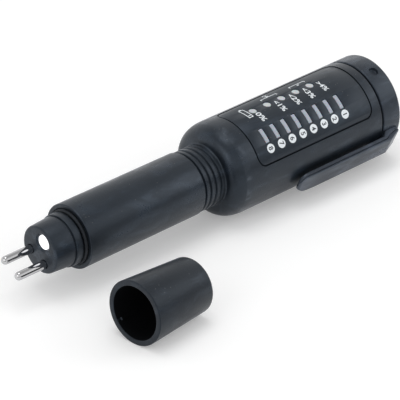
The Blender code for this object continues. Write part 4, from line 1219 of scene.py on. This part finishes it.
# %% The spring tree
def make_spring_tree():
    tree, given, result = new_form_tree(
        "cone spring", ("Turns", "Float", 3.0), ("Base Radius", "Float", 0.0037),
        ("Tip Radius", "Float", 0.0021), ("Height", "Float", 0.003), ("Wire Radius", "Float", 0.00025))
    coil = node(tree, "GeometryNodeCurveSpiral", {
        "Resolution": 32, "Rotations": given["Turns"], "Start Radius": given["Base Radius"],
        "End Radius": given["Tip Radius"], "Height": given["Height"]})
    wire = node(tree, "GeometryNodeCurvePrimitiveCircle", {
        "Resolution": 12, "Radius": given["Wire Radius"]})
    skin = node(tree, "GeometryNodeCurveToMesh", {"Curve": coil, "Profile Curve": wire, "Fill Caps": True})
    return end_form_tree(tree, given, result, skin)


spring_tree = make_spring_tree()

# %% Place the two springs
cell_side = 5.6
cell_drop = 2.6
cell_front = 79.6
cell_rear = 124.1
spring_reach = 0.55
front_seat = 76.15
rear_seat = end_mouth + 0.15


def spring(base_x, tip_x, side):
    mesh = grown(spring_tree, None, Turns=3.0, Base_Radius=3.7 * mm, Tip_Radius=2.1 * mm,
                 Height=abs(tip_x - base_x) * mm, Wire_Radius=0.25 * mm, Material=nickel)
    turn = pi / 2 if tip_x > base_x else -pi / 2
    place = Matrix.Translation((base_x * mm, side * cell_side * mm, -cell_drop * mm))
    mesh.transform(place @ Matrix.Rotation(turn, 4, "Y"))
    return cleaned(mesh)


show("front_coil", spring(front_seat, cell_front - spring_reach, -1), "nickel_contact", "front_spring")
show("rear_coil", spring(rear_seat, cell_rear + spring_reach, 1), "nickel_contact", "rear_spring",
     body="end_cap")

# %% Screws with a cross recess
screw_top = end_mouth - 0.6
screw_neck = end_mouth + 0.4
screw_head = 1.6
screw_shank = 0.8
screw_section = solid((screw_top, screw_head, 0.35), (screw_neck, screw_head, 0.05),
                      (screw_neck, screw_shank, 0.05), (end_mouth + 4.3, screw_shank, 0.3))
for number, side in ((1, -1), (2, 1)):
    y, z = side * post_place, post_place
    slots = [prism(rectangle(y - a, y + a, z - b, z + b), "X", screw_top - 0.3, screw_top + 0.45)
             for a, b in ((0.95, 0.2), (0.2, 0.95))]
    screw = combined(turned(screw_section, steel, 32, (y, z)), slots)
    show("cross_screw_%d" % number, screw, "steel_screw", "board_screw_%d" % number, body="end_cap")

# %% [markdown]
# ## The pieces inside
# The boards, cells, chips, lamps and wires keep their CAD shape, which is already right, and
# get their own finishes. A board has green lacquer over copper lines and tinned dots, a cell
# has a metal can under a printed sleeve, and a lamp has a yellow window on a pale body.

# %% Circuit board
def make_board_look():
    look, tree, shader = new_look("green circuit board")
    square = node(tree, "ShaderNodeMapping", {
        "Vector": object_place(tree), "Rotation": (-display_turn, 0, 0)})
    lines = node(tree, "ShaderNodeTexBrick", {
        "Vector": square, "Scale": 320.0, "Mortar Size": 0.035, "Mortar Smooth": 0.2,
        "Color1": (0, 0, 0, 1), "Color2": (0, 0, 0, 1), "Mortar": (1, 1, 1, 1)}).outputs["Color"]
    dots = node(tree, "ShaderNodeTexVoronoi", {"Vector": square, "Scale": 380.0, "Randomness": 0.7})
    pads = ramp(tree, dots.outputs["Distance"], 0.2, 0.16)
    lacquer = blended(tree, lines, paint(18, 84, 46), paint(46, 122, 70))
    raised = math(tree, "ADD", pads, times(tree, lines, 0.5))
    feed(tree, shader, {
        "Base Color": blended(tree, pads, lacquer, paint(190, 192, 188)), "Metallic": pads,
        "Roughness": use_group(tree, grain_group, Cells_Per_Metre=2600.0, Roughness=0.35)["Roughness"],
        "Normal": bump(tree, raised, 0.04)})
    return look


# %% Cells
band = 9 * mm
flat_end = 0.45 * mm
pole_end = 1.35 * mm


def make_cell_look(name, nub_side):
    """A printed sleeve with a gold band at the pole's end, and bare metal at both ends."""
    look, tree, shader = new_look(name)
    low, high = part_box(name)
    x = object_x(tree)
    front, rear = (flat_end, pole_end) if nub_side > 0 else (pole_end, flat_end)
    sleeve = times(tree, math(tree, "GREATER_THAN", x, low.x + front),
                   math(tree, "LESS_THAN", x, high.x - rear))
    gold = math(tree, "GREATER_THAN", x, high.x - band) if nub_side > 0 else math(
        tree, "LESS_THAN", x, low.x + band)
    print_colour = blended(tree, gold, paint(38, 52, 92), paint(188, 132, 62))
    grains = use_group(tree, grain_group, Cells_Per_Metre=900.0, Roughness=0.27)
    feed(tree, shader, {
        "Base Color": blended(tree, sleeve, paint(186, 186, 184), print_colour),
        "Metallic": math(tree, "SUBTRACT", 1.0, times(tree, sleeve, 0.6)),
        "Roughness": grains["Roughness"], "Normal": bump(tree, grains["Height"], 0.01)})
    return look


# %% Display lamps
def make_lamp_look():
    look, tree, shader = new_look("lamp with yellow window")
    outward = facing(tree, (0, -sin(display_turn), cos(display_turn)))
    window = math(tree, "GREATER_THAN", outward, 0.95)
    grains = use_group(tree, grain_group, Cells_Per_Metre=4000.0, Roughness=0.4)
    colour = blended(tree, window, paint(225, 224, 214), paint(228, 206, 96))
    feed(tree, shader, {"Base Color": toned(tree, colour, grains), "Roughness": grains["Roughness"],
                        "Normal": bump(tree, grains["Height"], 0.004)})
    return look


# %% Dress the CAD nodes that stay
lamp_names = ["bar_lamp_%d" % (i + 1) for i in range(8)] + ["dot_lamp_%d" % (i + 1) for i in range(5)]
finishes = (
    (make_board_look(), ["display_board", "probe_board", "switch_board"]),
    (chip_black, ["microcontroller", "tact_switch"]), (holder_plastic, ["battery_holder"]),
    (nickel, ["front_contact", "rear_contact"]),
    (make_cell_look("cell_1", 1), ["cell_1"]), (make_cell_look("cell_2", -1), ["cell_2"]),
    (red_skin, ["probe_wire_1", "light_wire_1"]), (black_skin, ["probe_wire_2", "light_wire_2"]),
    (make_lamp_look(), lamp_names))
for look, names in finishes:
    for name in names:
        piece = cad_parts[name]
        if not piece.material_slots:
            piece.data.materials.append(look)
        for place in piece.material_slots:
            place.material = look
print("dressed", sum(len(names) for look, names in finishes), "CAD nodes")

# %% [markdown]
# ## Floor, light and the white ground
# The tool lies on a plain pale floor. A wide soft lamp hangs overhead, two weaker ones stand at
# the sides, and a plain world fills in, so that a colour renders about as it is written.
# Camera rays find ground and world white, and so do the rays that shiny and clear parts send
# on. Those last ones also meet a dimmer ceiling and a dark horizon on the camera's side, as in
# a studio, which gives the pins their dark streaks. All of it goes by the ray type, so no more
# light falls on the object for it.

# %% World
fill_level = 0.68
ceiling_dim = 0.45
horizon_dim = 0.9
white = (1.0, 1.0, 1.0, 1.0)


def seen_rays(tree):
    """The rays that mirrors and clear parts send on, and those together with the camera's own."""
    path = node(tree, "ShaderNodeLightPath")
    sent_on = math(tree, "MAXIMUM", path.outputs["Is Glossy Ray"], path.outputs["Is Transmission Ray"])
    return sent_on, math(tree, "MAXIMUM", path.outputs["Is Camera Ray"], sent_on)


world = bpy.data.worlds.new("pale studio")
scene.world = world
world.use_nodes = True
sky = world.node_tree
mirrored, white_rays = seen_rays(sky)
direction = node(sky, "ShaderNodeTexCoord").outputs["Generated"]
way = node(sky, "ShaderNodeSeparateXYZ", {"Vector": direction}).outputs
ceiling = ramp(sky, way["Z"], 0.6, 0.8)
horizon = ramp(sky, way["Z"], 0.22, 0.12)
towards_camera = ramp(sky, way["Y"], -0.1, -0.3)
dim = math(sky, "MAXIMUM", times(sky, ceiling, ceiling_dim),
           times(sky, horizon, towards_camera, horizon_dim))
studio = math(sky, "SUBTRACT", 1.0, times(sky, dim, mirrored))
fill = node(sky, "ShaderNodeMapRange", {"Value": white_rays, "To Min": fill_level, "To Max": 1.0})
feed(sky, sky.nodes["Background"], {"Strength": times(sky, studio, fill), "Color": white})

# %% Floor
floor_half = 2.0
floor_grey = (0.82, 0.82, 0.82, 1.0)
floor_lift = 0.25
floor_mesh = bpy.data.meshes.new("floor")
corners = rectangle(-floor_half, floor_half, -floor_half, floor_half)
floor_mesh.from_pydata([(x, y, 0) for x, y in corners], [], [(0, 1, 2, 3)])
floor = placed("floor", floor_mesh)
floor_look, floor_tree, floor_shader = new_look("pale floor")
feed(floor_tree, floor_shader, {
    "Base Color": floor_grey, "Roughness": 0.9, "Specular IOR Level": 0.0, "Emission Color": white,
    "Emission Strength": times(floor_tree, seen_rays(floor_tree)[1], floor_lift)})
floor_mesh.materials.append(floor_look)


# %% Soft studio lamps
lamp_width = 0.45


def soft_lamp(name, place, watts):
    """A square lamp that looks at the object."""
    lamp = bpy.data.lights.new(name, "AREA")
    lamp.shape = "SQUARE"
    lamp.size = lamp_width
    lamp.energy = watts
    carrier = placed(name, lamp)
    carrier.location = place
    carrier.rotation_euler = (-Vector(place)).to_track_quat("-Z", "Y").to_euler()
    print(name, watts, "W,", round(Vector(place).length, 2), "m away")


soft_lamp("overhead lamp", (0.0, 0.05, 0.85), 1.6)
soft_lamp("right lamp", (0.6, -0.4, 0.42), 0.8)
soft_lamp("left lamp", (-0.75, -0.1, 0.45), 0.8)
